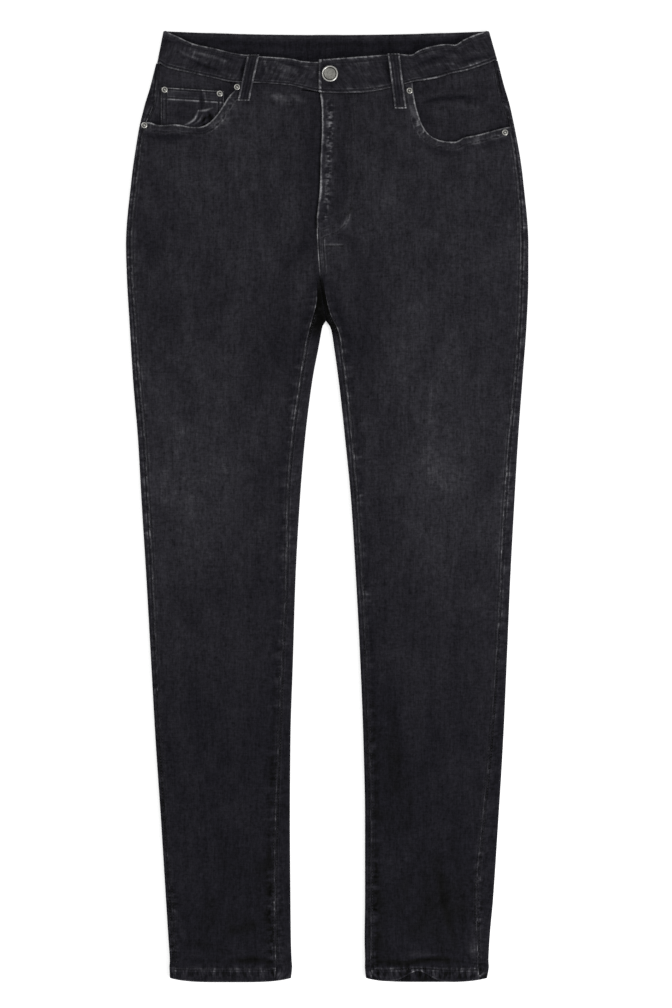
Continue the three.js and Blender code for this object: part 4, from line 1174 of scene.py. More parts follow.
BACK_CREASES = [
    [-150, 230, -60, 206, 6, 0.5, 8, 0.05],
    [-140, 214, -50, 184, 8, 0.45, 8, 0.04],
    [60, 210, 150, 236, -6, 0.5, 8, 0.05],
    [52, 188, 138, 220, -8, 0.45, 8, 0.04],
    [-170, 30, -90, 10, 5, 0.5, 7, 0.05],
    [-160, -2, -80, -30, -6, 0.5, 7, 0.05],
    [-150, -46, -96, -60, 5, 0.4, 6, 0.03],
    [70, 24, 160, 34, -5, 0.5, 7, 0.05],
    [66, -8, 150, -22, 6, 0.5, 7, 0.05],
    [84, -50, 140, -62, 4, 0.4, 6, 0.03],
    [-130, -250, -112, -340, 4, 0.4, 9, 0.02],
    [100, -236, 118, -330, -4, 0.4, 9, 0.02],
    [-104, -400, -90, -452, 3, 0.4, 6, 0.03],
    [128, -410, 112, -460, 3, 0.4, 6, 0.03],
]


def band_top_x(x):
    return x * np.where(x < 0, BAND_TOP_SIDE["right"], BAND_TOP_SIDE["left"]) / BAND_LOW


def back_loop_x(x, y):
    return lerp(x, band_top_x(x), (y - BACK_BAND["low"]) / (BACK_BAND["top"] - BACK_BAND["low"]))


def under_lift(x, y):
    """How far the pockets and belt loops beneath lift the cloth of the underside."""
    loop_tall = LOOP["back_past"] - LOOP["back_low"]
    lift = np.zeros_like(x)
    beneath = [(sign * BACK_POCKET["x"], BACK_POCKET["top"] - BACK_POCKET["point"] / 2, BACK_POCKET["width"],
                BACK_POCKET["point"], POCKET_EASE) for sign in (-1, 1)]
    beneath += [(back_loop_x(at, y), LOOP["back_low"] + loop_tall / 2, LOOP["width"], loop_tall, LOOP_EASE)
                for at in BACK_LOOPS.values()]
    for at_x, at_y, wide, tall, ease in beneath:
        away = np.maximum(np.maximum(np.abs(x - at_x) - wide / 2, np.abs(y - at_y) - tall / 2), 0)
        lift = np.maximum(lift, 1 - smooth((away - ease["margin"]) / ease["ramp"]))
    return STACKED * lift


def yoke_seam(x):
    return lerp(YOKE_SEAM["centre"], YOKE_SEAM["side"], np.abs(x) / YOKE_SEAM["reach"])


def folded(leg, edge, seam, y, wall, sign, angles):
    """x and z of the cloth round a folded edge, for each of its angles from the top down."""
    reach = np.minimum(FOLD_REACH, FOLD_SHARE * np.abs(edge - seam))
    low = wall / 2
    rise = (lay_height(leg, edge - sign * reach, y) - wall) / 2
    bulge = np.minimum(reach - wall / 2, FOLD_BULGE * rise * rise / low)
    centre = edge - sign * (bulge + wall / 2)
    return centre + sign * bulge * np.cos(angles), low + rise + rise * np.sin(angles)


STRIP_STEPS = 6
SEAT_ROWS = (1.9, 7.6)
BACK_GRID_ROWS = (8, 270, 52, 16)
UNDER_STITCHES = 0.12
UNDER_SHARES = np.linspace(0, 1, 48)[1:-1]


def back_columns(leg, y, wall, with_inner):
    """x and z round the panel for one grid of rows, column by column."""
    sign = leg["sign"]
    outseam = leg["outseam"](y) + sign * SEAM
    fold_x, fold_z = folded(leg, leg["outer"](y), leg["outseam"](y), y, wall, sign, FOLD_ANGLES)
    steps = np.linspace(0, 1, STRIP_STEPS + 1)
    strip_x = lerp(outseam, fold_x[:, :1], steps[:-1])
    seat = CENTRE["seat"](y) + sign * SEAM
    if with_inner:
        in_x, in_z = folded(leg, leg["inner"](y), leg["inseam"](y), y, wall, -sign, FOLD_ANGLES[::-1])
        seat = np.where(y <= CROTCH, in_x[:, :1], seat)
    under_x = lerp(fold_x[:, -1:], seat, UNDER_SHARES)
    under_z = np.broadcast_to(wall / 2, under_x.shape) + under_lift(under_x, y)
    xs = [strip_x, fold_x, under_x, seat]
    zs = [lay_height(leg, strip_x, y) - wall / 2, fold_z, under_z, wall / 2 + under_lift(seat, y)]
    if with_inner:
        in_strip_x = lerp(in_x[:, -1:], leg["inseam"](y) - sign * SEAM, steps[1:])
        xs += [in_x[:, 1:], in_strip_x]
        zs += [in_z[:, 1:], lay_height(leg, in_strip_x, y) - wall / 2]
    return np.concatenate(xs, 1), np.concatenate(zs, 1)


def settled(leg, wall, with_inner, guess, real_y, rounds):
    """x, y and z of a grid round the panel, once its rows follow the seams at both of its ends."""
    x, z = back_columns(leg, guess, wall, with_inner)
    for _ in range(rounds):
        y = real_y(x)
        columns = [back_columns(leg, y[:, i:i + 1], wall, with_inner) for i in range(x.shape[1])]
        x, z = (np.stack([column[part][:, i] for i, column in enumerate(columns)], 1) for part in (0, 1))
    return x, real_y(x), z


OUTER_STRIP_GATHERS = both_sides(21, -490, 440, 10.5)
INNER_STRIP_GATHERS = both_sides(23, -490, 200, 11)
SEAT_GATHERS = gathers(25, 250, 470, 9)
UNDER_HEM_ROPES = {"right": gathers(26, -172, -38, 6.5), "left": gathers(27, 40, 176, 6.5)}


def back_relief(leg, x, y, top):
    """Creases and puckers on the back. top is 1 on the strips that show on the front and 0 underneath,
    where the cloth only lifts off the surface that it lies on."""
    name = leg["name"]
    from_outseam = from_seam(leg["outseam"], x, y)
    from_inseam = from_seam(leg["inseam"], x, y, y < CROTCH)
    outer = gathered(OUTER_STRIP_GATHERS[name], y, from_outseam, 3.0, 13)
    inner = gathered(INNER_STRIP_GATHERS[name], y, from_inseam, 3.0, 12)
    hem, ropes = roped_hem(UNDER_HEM_ROPES[name], x, y)
    strip_height = 0.5 * outer + 0.35 * inner + 0.35 * hem * ropes
    # ditch: painted shade in the sunken lines beside the seams
    ditch = bell((from_outseam - 1.3) / 1.1) + bell((from_inseam - 1.3) / 1.1)
    low = 1 - smooth((y + 420) / 90)
    strip_wear_and_shade = 0.20 * outer - 0.04 + 0.06 * low + 0.10 * inner + 0.24 * hem * ropes - 0.12 * ditch
    under_height, under_wear_and_shade = creased(BACK_CREASES, x, y)
    seat = gathered(SEAT_GATHERS, y, from_seam(CENTRE["seat"], x, y, y > CROTCH), 2.6, 8)
    edge_in = np.minimum(np.abs(x - leg["outer"](y)), np.abs(x - leg["inner"](y)))
    under_height = (under_height + 0.4 * seat + 0.3 * hem * ropes) * smooth(edge_in / 12)
    under_wear_and_shade = under_wear_and_shade + 0.14 * seat + 0.17 * hem * ropes
    return lerp(under_height, strip_height, top), lerp(under_wear_and_shade, strip_wear_and_shade, top)


def back_rows(leg):
    """Rows of stitches on a back panel: on its strips, on its hem and beside the seat seam."""
    sign = leg["sign"]
    top_rows = [
        seam_line(leg["outseam"], sign * 1.7, HEM["top"] + 4, 430),
        seam_line(leg["inseam"], -sign * 1.8, HEM["top"] + 4, 206),
    ]
    hem_x = hem_span(leg, ("outer", "inner"), HEM["row_ends"], 4)
    under_rows = [np.stack([hem_x, np.full(HEM_POINTS, HEM["row"])], 1)]
    if leg is LEFT:
        under_rows += [seam_line(CENTRE["seat"], row, CROTCH + above, high, 40)
                       for row, above, high in zip(SEAT_ROWS, (6, 12), (402, 400))]
    return top_rows, under_rows


def strips_only(columns, with_inner):
    """1 on the columns of the strips, falling to 0 round the folds."""
    top = np.zeros(columns)
    ease = smooth(np.linspace(1, -0.4, len(FOLD_ANGLES)))
    top[:STRIP_STEPS] = 1
    top[STRIP_STEPS:STRIP_STEPS + len(FOLD_ANGLES)] = ease
    if with_inner:
        top[columns - STRIP_STEPS:] = 1
        start = columns - STRIP_STEPS - len(FOLD_ANGLES) + 1
        top[start:start + len(FOLD_ANGLES) - 1] = ease[::-1][1:]
    return top


def back_layers(leg, x, y, top, wear_and_shade, under_edges, rows):
    """What the material reads on a back panel or yoke, from its strips on top and its underside."""
    sign = leg["sign"]
    hem_x = hem_span(leg, ("outer", "inner"), HEM["edge_ends"])
    hem = [(np.stack([hem_x, hem_edge(leg, hem_x, False)], 1), 1.2, 0.14)]
    top_edges = [(seam_line(leg["outseam"], sign * EDGE_IN, -508, 480), 1.0, 0.1),
                 (seam_line(leg["inseam"], -sign * EDGE_IN, -508, CROTCH - 60), 1.0, 0.14)]
    shown = np.broadcast_to(top > 0.5, x.shape)
    on_top, beneath = (
        worn_layers(edges + hem, [(row, 1, STRONG_SEAM) for row in sewn], x, y)
        for edges, sewn in zip((top_edges, under_edges), rows))
    layers = {key: np.where(shown, on_top[key], beneath[key]) for key in on_top}
    masks, roped = seam_masks(leg, x, y)
    seat = np.where(y > CROTCH, bell(np.abs(x - CENTRE["seat"](y)) / 8), 0)
    by_outseam = 0.9 * bell(from_seam(leg["outseam"], x, y) / 16)
    layers["gathered"] = np.where(shown, np.maximum(by_outseam * (0.4 + masks), masks), seat)
    # painted shadow in the deep valley between the legs at the crotch fork, on the strips that show
    crotch_shadow = 0.46 * smooth((y - 172) / 26) * (np.abs(x) < 30) * (y <= CROTCH + FORK_LAP)
    crotch_shadow = crotch_shadow * (smooth((CROTCH - y) / 20) - 0.1) * shown
    return {"pale": wear_and_shade + washed_and_shaded(x, y) - crotch_shadow, **layers, "roped": roped}


def sew_back(leg, name, top_rows, under_rows):
    def top_height(x, y):
        return lay_height(leg, x, y) + back_relief(leg, x, y, 1.0)[0]

    def under_height(x, y):
        return under_lift(x, y) + back_relief(leg, x, y, 0.0)[0]

    sew(f"{name}_stitches_{leg['name']}",
        on_cloth(top_rows, top_height) + on_cloth(under_rows, under_height, UNDER_STITCHES))


def build_back(leg):
    sign, name = leg["sign"], leg["name"]
    levels = leg_levels(BACK_GRID_ROWS, FORK_LAP)
    level = levels[:, None]
    wall = np.where(level <= HEM["top"] + JUST_ABOVE, HEM_WALL, DENIM_WALL)
    x, y, z = settled(leg, wall, True, level, lambda at: level_to_y(
        leg, np.broadcast_to(level, at.shape), at, False, yoke_seam(at) - SEAM), 3)
    top = strips_only(x.shape[1], True)
    height, wear_and_shade = back_relief(leg, x, y, top)
    fork = STRIP_STEPS + len(FOLD_ANGLES) + len(UNDER_SHARES)
    live = np.ones((len(levels) - 1, x.shape[1] - 1), bool)
    live[np.searchsorted(levels, CROTCH + JUST_ABOVE):, fork:] = False
    rows = back_rows(leg)
    under_edges = [(seam_line(CENTRE["seat"], sign * EDGE_IN, CROTCH, 410, 40), 1.2, 0.16)]
    layers = back_layers(leg, x, y, top, wear_and_shade, under_edges, rows)
    cloth_piece(f"back_{name}", BACK_CUT,
                *shell(f"back_panel_{name}", np.stack([x, y, z + height], 2), wall[:, 0], sign, layers, live))
    sew_back(leg, "back", *rows)


for leg in LEGS:
    build_back(leg)

# Back yoke: the shaped piece between each back panel and the waistband. It is sewn to the panel with two rows
# of stitches, and runs round the side fold to the front pocket.
YOKE_CUT = (0.21, 0.085)
YOKE_ROWS = [1.8, 7.6]


def back_band_line(centre, edge, x):
    side = np.where(x < 0, BAND_RIGHT[edge](-BAND_LOW), BAND_LEFT[edge](BAND_LOW))
    return lerp(centre, side, (x / BAND_LOW) ** 2)


def build_yoke(leg):
    sign, name = leg["sign"], leg["name"]
    shares = np.linspace(0, 1, 26)[:, None]
    x, y, z = settled(leg, DENIM_WALL, False, 440 + 30 * shares, lambda at: lerp(
        yoke_seam(at) + SEAM, back_band_line(BACK_BAND["low"], "seam", at) - SEAM, shares), 4)
    top = strips_only(x.shape[1], False)
    height, wear_and_shade = back_relief(leg, x, y, top)
    seam_x = np.linspace(leg["outer"](YOKE_SEAM["side"]) - sign * 4, sign * 1, 40)
    under_rows = [np.stack([seam_x, yoke_seam(seam_x) + row], 1) for row in YOKE_ROWS]
    if leg is LEFT:
        under_rows += [seam_line(CENTRE["seat"], row, 412, 472, 12) for row in SEAT_ROWS]
    top_rows = [seam_line(leg["outseam"], sign * 1.7, 444, 470, 12)]
    under_edges = [(np.stack([seam_x, yoke_seam(seam_x)], 1), 1.2, 0.16)]
    layers = back_layers(leg, x, y, top, wear_and_shade, under_edges, (top_rows, under_rows))
    cloth_piece(f"yoke_{name}", YOKE_CUT,
                *shell(f"yoke_panel_{name}", np.stack([x, y, z + height], 2), DENIM_WALL, sign, layers))
    sew_back(leg, "yoke", [], under_rows)


for leg in LEGS:
    build_yoke(leg)

# Front pocket facings: the denim that shows in each pocket mouth, sewn to the pocket bag. It lies under the
# front panel and rises a little inside the mouth, where soft creases run across it.
FACING = {"right": {"x": -82, "low": 397}, "left": {"x": 78, "low": 380}}
FACING_CUT = (0.13, 0.10)
FACING_DROP = {"under": STACKED, "inside": 0.9, "rise_from": 9, "rise": 26}
COIN = {"side_x": -179.5, "centre_x": -111.5, "low": 400, "side_top": 452.4, "centre_top": 448.2,
        "margin": 4, "ease": 12}
FACING_CREASES = [
    [104, 436, 160, 440, 4, -0.9, 3.4, -0.34],
    [110, 444, 150, 447, -2, 0.6, 2.6, 0.16],
    [134, 434, 168, 430, -1, 0.5, 3, 0.12],
    [120, 454, 168, 463, 3, 0.4, 5, 0.08],
    [96, 446, 112, 452, 1, -0.3, 3, -0.10],
    [100, 432, 118, 408, -3, -0.5, 5, -0.12],
    [150, 414, 190, 424, -2, 0.4, 5, 0.03],
    [-188, 452, -184, 424, 1, 0.3, 3, 0.05],
    [-186, 420, -160, 418, 1, -0.5, 4, -0.15],
    [-170, 464, -130, 459, 2, 0.4, 4, 0.05],
    [-120, 452, -104, 452, 1, -0.4, 4, -0.12],
]


def facing_height(leg, x, y):
    aside = np.maximum.reduce([COIN["side_x"] - x, x - COIN["centre_x"], COIN["low"] - y, y - COIN["side_top"],
                               np.zeros_like(x)])
    coin = STACKED * (1 - smooth((aside - COIN["margin"]) / COIN["ease"])) if leg is RIGHT else 0
    under = FACING_DROP["under"] + coin
    rise = smooth((away_from([(leg["mouth"], 1, 1)], x, y)[0] - FACING_DROP["rise_from"]) / FACING_DROP["rise"])
    drop = np.where(inside_mouth(leg, x, y), lerp(under, FACING_DROP["inside"], rise), under)
    return lay_height(leg, x, y) - DENIM_WALL / 2 - drop


def build_facing(leg):
    sign, facing = leg["sign"], FACING[leg["name"]]
    levels, shares = np.meshgrid(np.linspace(0, 1, 38), np.linspace(0, 1, 50), indexing="ij")
    y = lerp(facing["low"], 460, levels)
    for _ in range(4):
        x = lerp(leg["outseam"](y) - sign * SEAM, facing["x"], shares)
        y = lerp(facing["low"], waist_seam(leg, x), levels)
    height, wear_and_shade = creased(FACING_CREASES, x, y)
    z = facing_height(leg, x, y) + height
    mouth_shadow = -0.12 * bell(away_from([(leg["mouth"], 1, 1)], x, y)[0] / 4)
    side = seam_line(leg["outseam"], -sign * EDGE_IN, facing["low"], 480)
    side_row = seam_line(leg["outseam"], -sign * 1.8, 414, 470, 14)
    layers = {"pale": wear_and_shade + mouth_shadow, **worn_layers([(side, 1.0, 0.1)], [(side_row, 1, PLAIN_SEAM)], x, y)}
    cloth_piece(f"pocket_facing_{leg['name']}", FACING_CUT,
                *shell(f"facing_{leg['name']}", np.stack([x, y, z], 2), DENIM_WALL, -sign, layers))


for leg in LEGS:
    build_facing(leg)

# Coin pocket: a small patch on the right facing, turned in at its top edge and sewn down both sides with two
# rows. Its foot runs under the front panel, and there it is pushed up into a rolled fold.
COIN_CUT = (0.08, 0.075)
COIN_ROWS = {"hem": (1.8, 10.8), "sides": (1.6, 5.8), "hem_fold": 12.4}
COIN_CREASES = [
    # the rolled fold, its hatched crown, and painted shade in its hollow
    [-151, 413, -126, 427, 3, 1.9, 6, 0.00],
    [-153, 412, -139, 427, -3, 0.4, 1.5, 0.47],
    [-139, 427, -124, 430, -1, 0.4, 1.5, 0.44],
    [-149, 412, -136, 424, -2, -0.3, 1.3, -0.26],
    [-146, 412, -134, 424, -2, 0.3, 1.1, 0.31],
    [-142, 411, -131, 423, -2, -0.3, 1.2, -0.29],
    [-138, 411, -129, 422, -2, 0.3, 1.1, 0.26],
    [-134, 411, -126, 423, 2, -0.4, 2.2, -0.39],
    [-128, 425, -124, 412, 1, -0.6, 2.8, -0.44],
    [-138, 410, -124, 411, 1, -0.5, 2.6, -0.39],
    [-122, 424, -121, 410, 0, 0.3, 1.1, 0.26],
    # the small wrinkle under its hem, and slack across it
    [-137, 450, -136, 430, 1, -0.6, 2.0, -0.26],
    [-133, 447, -132, 432, 1, 0.4, 1.4, 0.18],
    [-141, 446, -140, 434, 1, 0.3, 1.4, 0.10],
    [-174, 447, -148, 445, 1, 0.3, 2.4, 0.09],
    [-172, 434, -146, 431, 1, -0.3, 2.4, -0.10],
    [-168, 424, -150, 418, 2, -0.4, 4, -0.13],
    [-130, 443, -116, 440, 1, 0.3, 2, 0.10],
]


def coin_top(x):
    return lerp(COIN["side_top"], COIN["centre_top"], (x - COIN["side_x"]) / (COIN["centre_x"] - COIN["side_x"]))


def build_coin_pocket():
    side, centre = COIN["side_x"], COIN["centre_x"]
    level, x = np.meshgrid(np.linspace(0, 1, 76), np.linspace(side, centre, 96), indexing="ij")
    y = lerp(COIN["low"], coin_top(x), level)
    height, wear_and_shade = creased(COIN_CREASES, x, y)
    z = facing_height(RIGHT, x, y) + STACKED + height
    across = np.linspace(side + 1, centre - 1, 12)
    rows = [np.stack([across, coin_top(across) - below], 1) for below in COIN_ROWS["hem"]]
    rows += [seam_line(np.zeros_like, at_x, 403, 449, 10) for at_x in (
        *(side + row for row in COIN_ROWS["sides"]), *(centre - row for row in COIN_ROWS["sides"]))]
    top_edge = np.stack([across, coin_top(across)], 1)
    edges = [(top_edge, 1.9, 0.26), (top_edge - [0, COIN_ROWS["hem_fold"]], 1.4, 0.2)]
    edges += [(seam_line(np.zeros_like, at_x, 400, 452, 10), 1.2, 0.16) for at_x in (side, centre)]
    layers = {"pale": wear_and_shade, **worn_layers(edges, [(row, 1, STRONG_SEAM) for row in rows], x, y)}
    cloth_piece("coin_pocket", COIN_CUT, *shell("coin_patch", np.stack([x, y, z], 2), DENIM_WALL, 1, layers))
    sew("coin_stitches", on_cloth(rows, lambda at_x, at_y: facing_height(RIGHT, at_x, at_y) + STACKED
                                  + DENIM_WALL / 2 + creased(COIN_CREASES, at_x, at_y)[0]))


build_coin_pocket()

# Waistband: one long strip, folded along its top edge and sewn over the tops of all the panels. It runs from the
# buttonhole flap on the left front, round the back, to the underlap below the flap on the right.
BAND_WALL = 2.2
BAND = {"tall": 34, "fold_reach": 3, "fold_height": 5.6, "front_middle": 5.2, "inset": 8}
FLAP = {"end": -9.3, "rise": 2.5, "full": 27, "ramp": 28, "columns": 60}
UNDERLAP_END = 24.6
BAND_ROWS = {"low": 2.2, "top": 3.4, "flap": 4.0}
BAND_CUT = (0.80, 0.08)
BAND_CREASES = [
    [-146, 490, -98, 474, 3, 0.7, 1.8, 0.20],
    [-152, 486, -112, 470, -2, -0.6, 2, -0.22],
    [-168, 500, -126, 483, 2, 0.5, 2, 0.19],
    [-174, 503, -138, 491, 1, -0.6, 2, -0.23],
    [-126, 488, -96, 480, 1, -0.5, 1.8, -0.19],
    [-160, 492, -130, 479, -1, 0.4, 1.8, 0.19],
    [-118, 470, -98, 464, 0, 0.4, 1.8, 0.16],
    [-64, 480, -24, 463, 3, 0.6, 2, 0.16],
    [-66, 471, -30, 459, -1, 0.5, 2, 0.17],
    [-52, 480, -16, 470, 1, -0.5, 2, -0.19],
    [-44, 474, -16, 460, 1, -0.4, 1.8, -0.16],
    [-58, 463, -34, 458, 1, -0.3, 1.6, -0.12],
    [-69, 483, -66, 470, 1, 0.4, 1.6, 0.31],
    [94, 468, 138, 478, 3, 0.7, 1.9, 0.17],
    [92, 474, 132, 487, 2, -0.7, 2, -0.19],
    [96, 463, 142, 472, -1, -0.5, 1.8, -0.16],
    [100, 458, 130, 464, 0, 0.4, 1.6, 0.19],
    [98, 484, 124, 491, 1, 0.4, 1.8, 0.16],
    [128, 486, 172, 493, -2, 0.5, 2, 0.14],
    [126, 492, 152, 487, 1, -0.6, 1.8, -0.19],
    [140, 478, 178, 486, 1, -0.5, 2, -0.19],
    [146, 473, 172, 481, 1, 0.4, 1.8, 0.16],
    [20, 474, 58, 477, 2, 0.35, 3, 0.09],
    [22, 456, 66, 459, 1, -0.35, 3, -0.09],
    [44, 466, 66, 464, 1, 0.3, 2.4, 0.11],
    [-58, 474, -26, 466, 1, 0.4, 4, 0.17],
    [-28, 476, -14, 470, 1, 0.3, 3, 0.12],
    [-150, 482, -120, 472, -2, -0.5, 2.4, -0.16],
    [-136, 500, -104, 490, 1, -0.4, 2, -0.14],
    # painted shadows beside the two front belt loops
    [-92, 460, -88, 484, 1, 0, 2.4, -0.30],
    [-72, 458, -66, 478, 1, 0, 2.0, -0.22],
    [66, 456, 63, 486, -1, 0, 2.6, -0.30],
    [82, 458, 80, 484, 1, 0, 2.0, -0.22],
    [-6, 476, 0, 456, -1, 0.4, 1.6, 0.12],
]
BACK_BAND_CREASES = [
    [-150, 500, -90, 497, 2, 0.4, 3, 0.05],
    [-60, 502, -10, 500, -1, 0.4, 3, 0.05],
    [30, 499, 96, 503, 1, 0.4, 3, 0.04],
    [-90, 488, -20, 486, 1, -0.4, 4, -0.06],
    [60, 488, 130, 492, -1, -0.4, 4, -0.06],
]
BAND_GATHERS = gathers(31, -180, 180, 7)


def band_front_height(leg, x):
    inward = smooth((BAND_LOW - np.abs(x)) / DIP_REACH)
    flap = FLAP["rise"] * (1 - smooth((x - FLAP["full"]) / FLAP["ramp"])) if leg is LEFT else 0
    return lerp(BAND["fold_height"] - BAND_WALL / 2, BAND["front_middle"], inward) + flap


def band_front(leg, x, share):
    """Points of the band on the front, from its seam to its top edge, with their creases and wear."""
    at_x = lerp(x, band_top_x(x), share)
    at_y = lerp(leg["band"]["seam"](x) + SEAM, leg["band"]["top"](x), share)
    height, wear_and_shade = creased(BAND_CREASES, at_x, at_y)
    puckers = gathered(BAND_GATHERS, at_x, share * BAND["tall"], 2.4, 7)
    return np.stack([at_x, at_y, band_front_height(leg, x) + height + 0.3 * puckers], -1), wear_and_shade + 0.07 * puckers


def band_back(x, share):
    low = back_band_line(BACK_BAND["low"], "seam", x) + SEAM
    top = back_band_line(BACK_BAND["top"], "top", x)
    at_x, at_y = lerp(x, band_top_x(x), share), lerp(low, top, share)
    height, wear_and_shade = creased(BACK_BAND_CREASES, at_x, at_y)
    lifted = np.maximum(height, -0.2) * 0.5
    return np.stack([at_x, at_y, BAND_WALL / 2 + under_lift(at_x, at_y) + np.maximum(lifted, 0)], -1), wear_and_shade


def band_fold(leg, angle, share):
    rise = (BAND["fold_height"] - BAND_WALL) / 2
    bulge = BAND["fold_reach"] - BAND_WALL / 2
    edge = leg["sign"] * BAND_LOW
    at_x = lerp(edge, band_top_x(edge), share) - leg["sign"] * (BAND["fold_reach"] - bulge * np.cos(angle))
    at_y = lerp(leg["band"]["seam"](edge) + SEAM, leg["band"]["top"](edge), share)
    at_z = BAND_WALL / 2 + rise + rise * np.sin(angle)
    return np.stack(np.broadcast_arrays(at_x, at_y, at_z), -1), np.zeros(np.broadcast(at_x, at_z).shape)


def cut_buttonhole(piece):
    """Cuts the keyhole through the flap: a round eye for the shank, and a slot beside it."""
    eye_x, eye_y, hole = BUTTON["x"], BUTTON["y"], BUTTON["hole"]
    angles = np.linspace(BUTTONHOLE["start"], 2 * math.pi - BUTTONHOLE["start"], 24)
    outline = [(eye_x + hole * math.cos(a), eye_y + hole * math.sin(a)) for a in angles]
    outline += [(eye_x + BUTTON["slot_length"], eye_y + side * BUTTON["slot"] / 2) for side in (-1, 1)]
    knife_low = float(band_front_height(LEFT, np.array(eye_x))) - BAND_WALL / 2 - GAP / 2
    count = len(outline)
    points = [(px * MM, py * MM, z * MM) for z in (knife_low, BUTTONHOLE["knife_top"]) for px, py in outline]
    sides = [[i, (i + 1) % count, count + (i + 1) % count, count + i] for i in range(count)]
    blade = bpy.data.meshes.new("buttonhole_knife")
    blade.from_pydata(points, [], sides + [list(range(count))[::-1], list(range(count, 2 * count))])
    knife = new_object("buttonhole_knife", blade)
    cut = piece.modifiers.new("buttonhole", "BOOLEAN")
    cut.operation, cut.object, cut.solver = "DIFFERENCE", knife, "EXACT"
    opened = bpy.data.meshes.new_from_object(piece.evaluated_get(bpy.context.evaluated_depsgraph_get()))
    piece.modifiers.clear()
    opened.name = piece.name
    piece.data = opened
    bpy.data.objects.remove(knife)


def build_waistband():
    shares = np.linspace(0, 1, 27)[:, None]
    left_x = np.linspace(FLAP["end"], BAND_LOW - BAND["inset"], 140)[None]
    right_x = np.linspace(BAND["inset"] - BAND_LOW, UNDERLAP_END, 140)[None]
    back_x = np.linspace(BAND_LOW - BAND["inset"] / 2, BAND["inset"] / 2 - BAND_LOW, 110)[None]
    middle, wear_and_shade = (np.concatenate(part, 1) for part in zip(
        band_front(LEFT, left_x, shares),
        band_fold(LEFT, FOLD_ANGLES[None], shares),
        band_back(back_x, shares),
        band_fold(RIGHT, FOLD_ANGLES[::-1][None], shares),
        band_front(RIGHT, right_x, shares),
    ))
    share = np.broadcast_to(shares, middle.shape[:2])
    from_seam_low, from_top = share * BAND["tall"], (1 - share) * BAND["tall"]
    column = np.arange(middle.shape[1])
    from_flap = np.abs(middle[..., 0] - FLAP["end"]) + FAR * (column > FLAP["columns"])
    from_lap = 0.9 * column[::-1] + np.zeros_like(share)
    front = np.zeros(middle.shape[1])
    front[:left_x.size] = 1
    front[-right_x.size:] = 1
    inside_tone = 0.18 * bell((from_top - 3) / 2.6) - 0.12 * bell((from_top - 10) / 3.5)
    layers = {
        "pale": wear_and_shade + 0.025 * front + (1 - front) * inside_tone - 0.03,
        "edge": np.minimum.reduce([from_top / 2.0, from_flap / 3.4, from_lap / 1.2, from_seam_low / 1.2]),
        "fray": np.select([from_flap < 5, from_seam_low < 3], [0.36, 0.18], 0.12 + 0.26 * front),
        "stitch": np.minimum.reduce([
            np.abs(from_top - 4.6), np.abs(from_seam_low - 2.6), np.abs(from_flap - 4.2)]),
        "sewn": np.select([from_seam_low < 6], [0.13], 0.04 + 0.04 * front),
        "gathered": 0.14 * front,
        "roped": 0.3 * front,
    }
    piece, area = shell("waistband_strip", middle, BAND_WALL, 1, layers, rounding=0.8)
    cut_buttonhole(piece)
    cloth_piece("waistband", BAND_CUT, piece, area)
    row_shares = [np.array([[share_at]]) for share_at in (
        BAND_ROWS["low"] / BAND["tall"], 1 - BAND_ROWS["top"] / BAND["tall"])]
    rows = [band_front(leg, x, row)[0][0] + [0, 0, BAND_WALL / 2 + STITCH_LIFT]
            for leg, x in ((LEFT, left_x), (RIGHT, right_x)) for row in row_shares]
    flap_row = np.array([[FLAP["end"] + BAND_ROWS["flap"]]])
    flap_points = band_front(LEFT, flap_row, np.linspace(0.08, 0.9, 12)[:, None])[0][:, 0]
    rows.append(flap_points + [0, 0, BAND_WALL / 2 + STITCH_LIFT])
    for row in row_shares:
        points = band_back(back_x, row)[0][0]
        rows += [points - [0, 0, BAND_WALL / 2 - UNDER_STITCHES], points + [0, 0, BAND_WALL / 2 + 0.02]]
    sew("waistband_stitches", rows)


BUTTON = {"x": 3, "y": 466.7, "radius": 8.75, "shank": 2.2, "hole": 3.1, "slot": 1.6, "slot_length": 8}
BUTTONHOLE = {"start": math.asin(BUTTON["slot"] / 2 / BUTTON["hole"]), "knife_top": 16}
build_waistband()

# Belt loops: five folded strips with two rows of stitches. The two front ones lie over the band, held by a bar
# tack at both ends, and the three back ones lie flat under it.
FRONT_LOOP_CUT = (0.0135, 0.064)
BACK_LOOP_CUT = (0.0135, 0.042)
LOOP_ROWS = 3.4
LOOP_TACK = ([5.4, 0, 0], [0, 0.8, 0], 19)
TACK_THREAD = {"pitch": 0.7, "length": 1.2, "thickness": 0.45}
FRONT_LOOPS = [
    {"name": "front_right", "leg": RIGHT, "top": (-79.6, 487.4), "low": (-90.2, 438)},
    {"name": "front_left", "leg": LEFT, "top": (71.6, 488.6), "low": (79.2, 429.5)},
]


def tack(centre, run, across, turns=13):
    """A bar tack: thread that zigzags over a short bar. run is its half length, and across its half width."""
    t = np.linspace(-1, 1, turns)[:, None]
    flip = np.where(np.arange(turns) % 2 == 0, 1, -1)[:, None]
    return np.asarray(centre) + np.asarray(run) * t + np.asarray(across) * flip


def loop_grid(rows, columns, start, end):
    """A loop's strip: each point's share along and across it, its x and y, and its distance from an end."""
    share, across = np.meshgrid(np.linspace(0, 1, rows), np.linspace(-1, 1, columns), indexing="ij")
    x = lerp(start[0], end[0], share) + across * LOOP["width"] / 2
    from_end = np.minimum(share, 1 - share) * math.hypot(start[0] - end[0], start[1] - end[1])
    return share, across, x, lerp(start[1], end[1], share), from_end


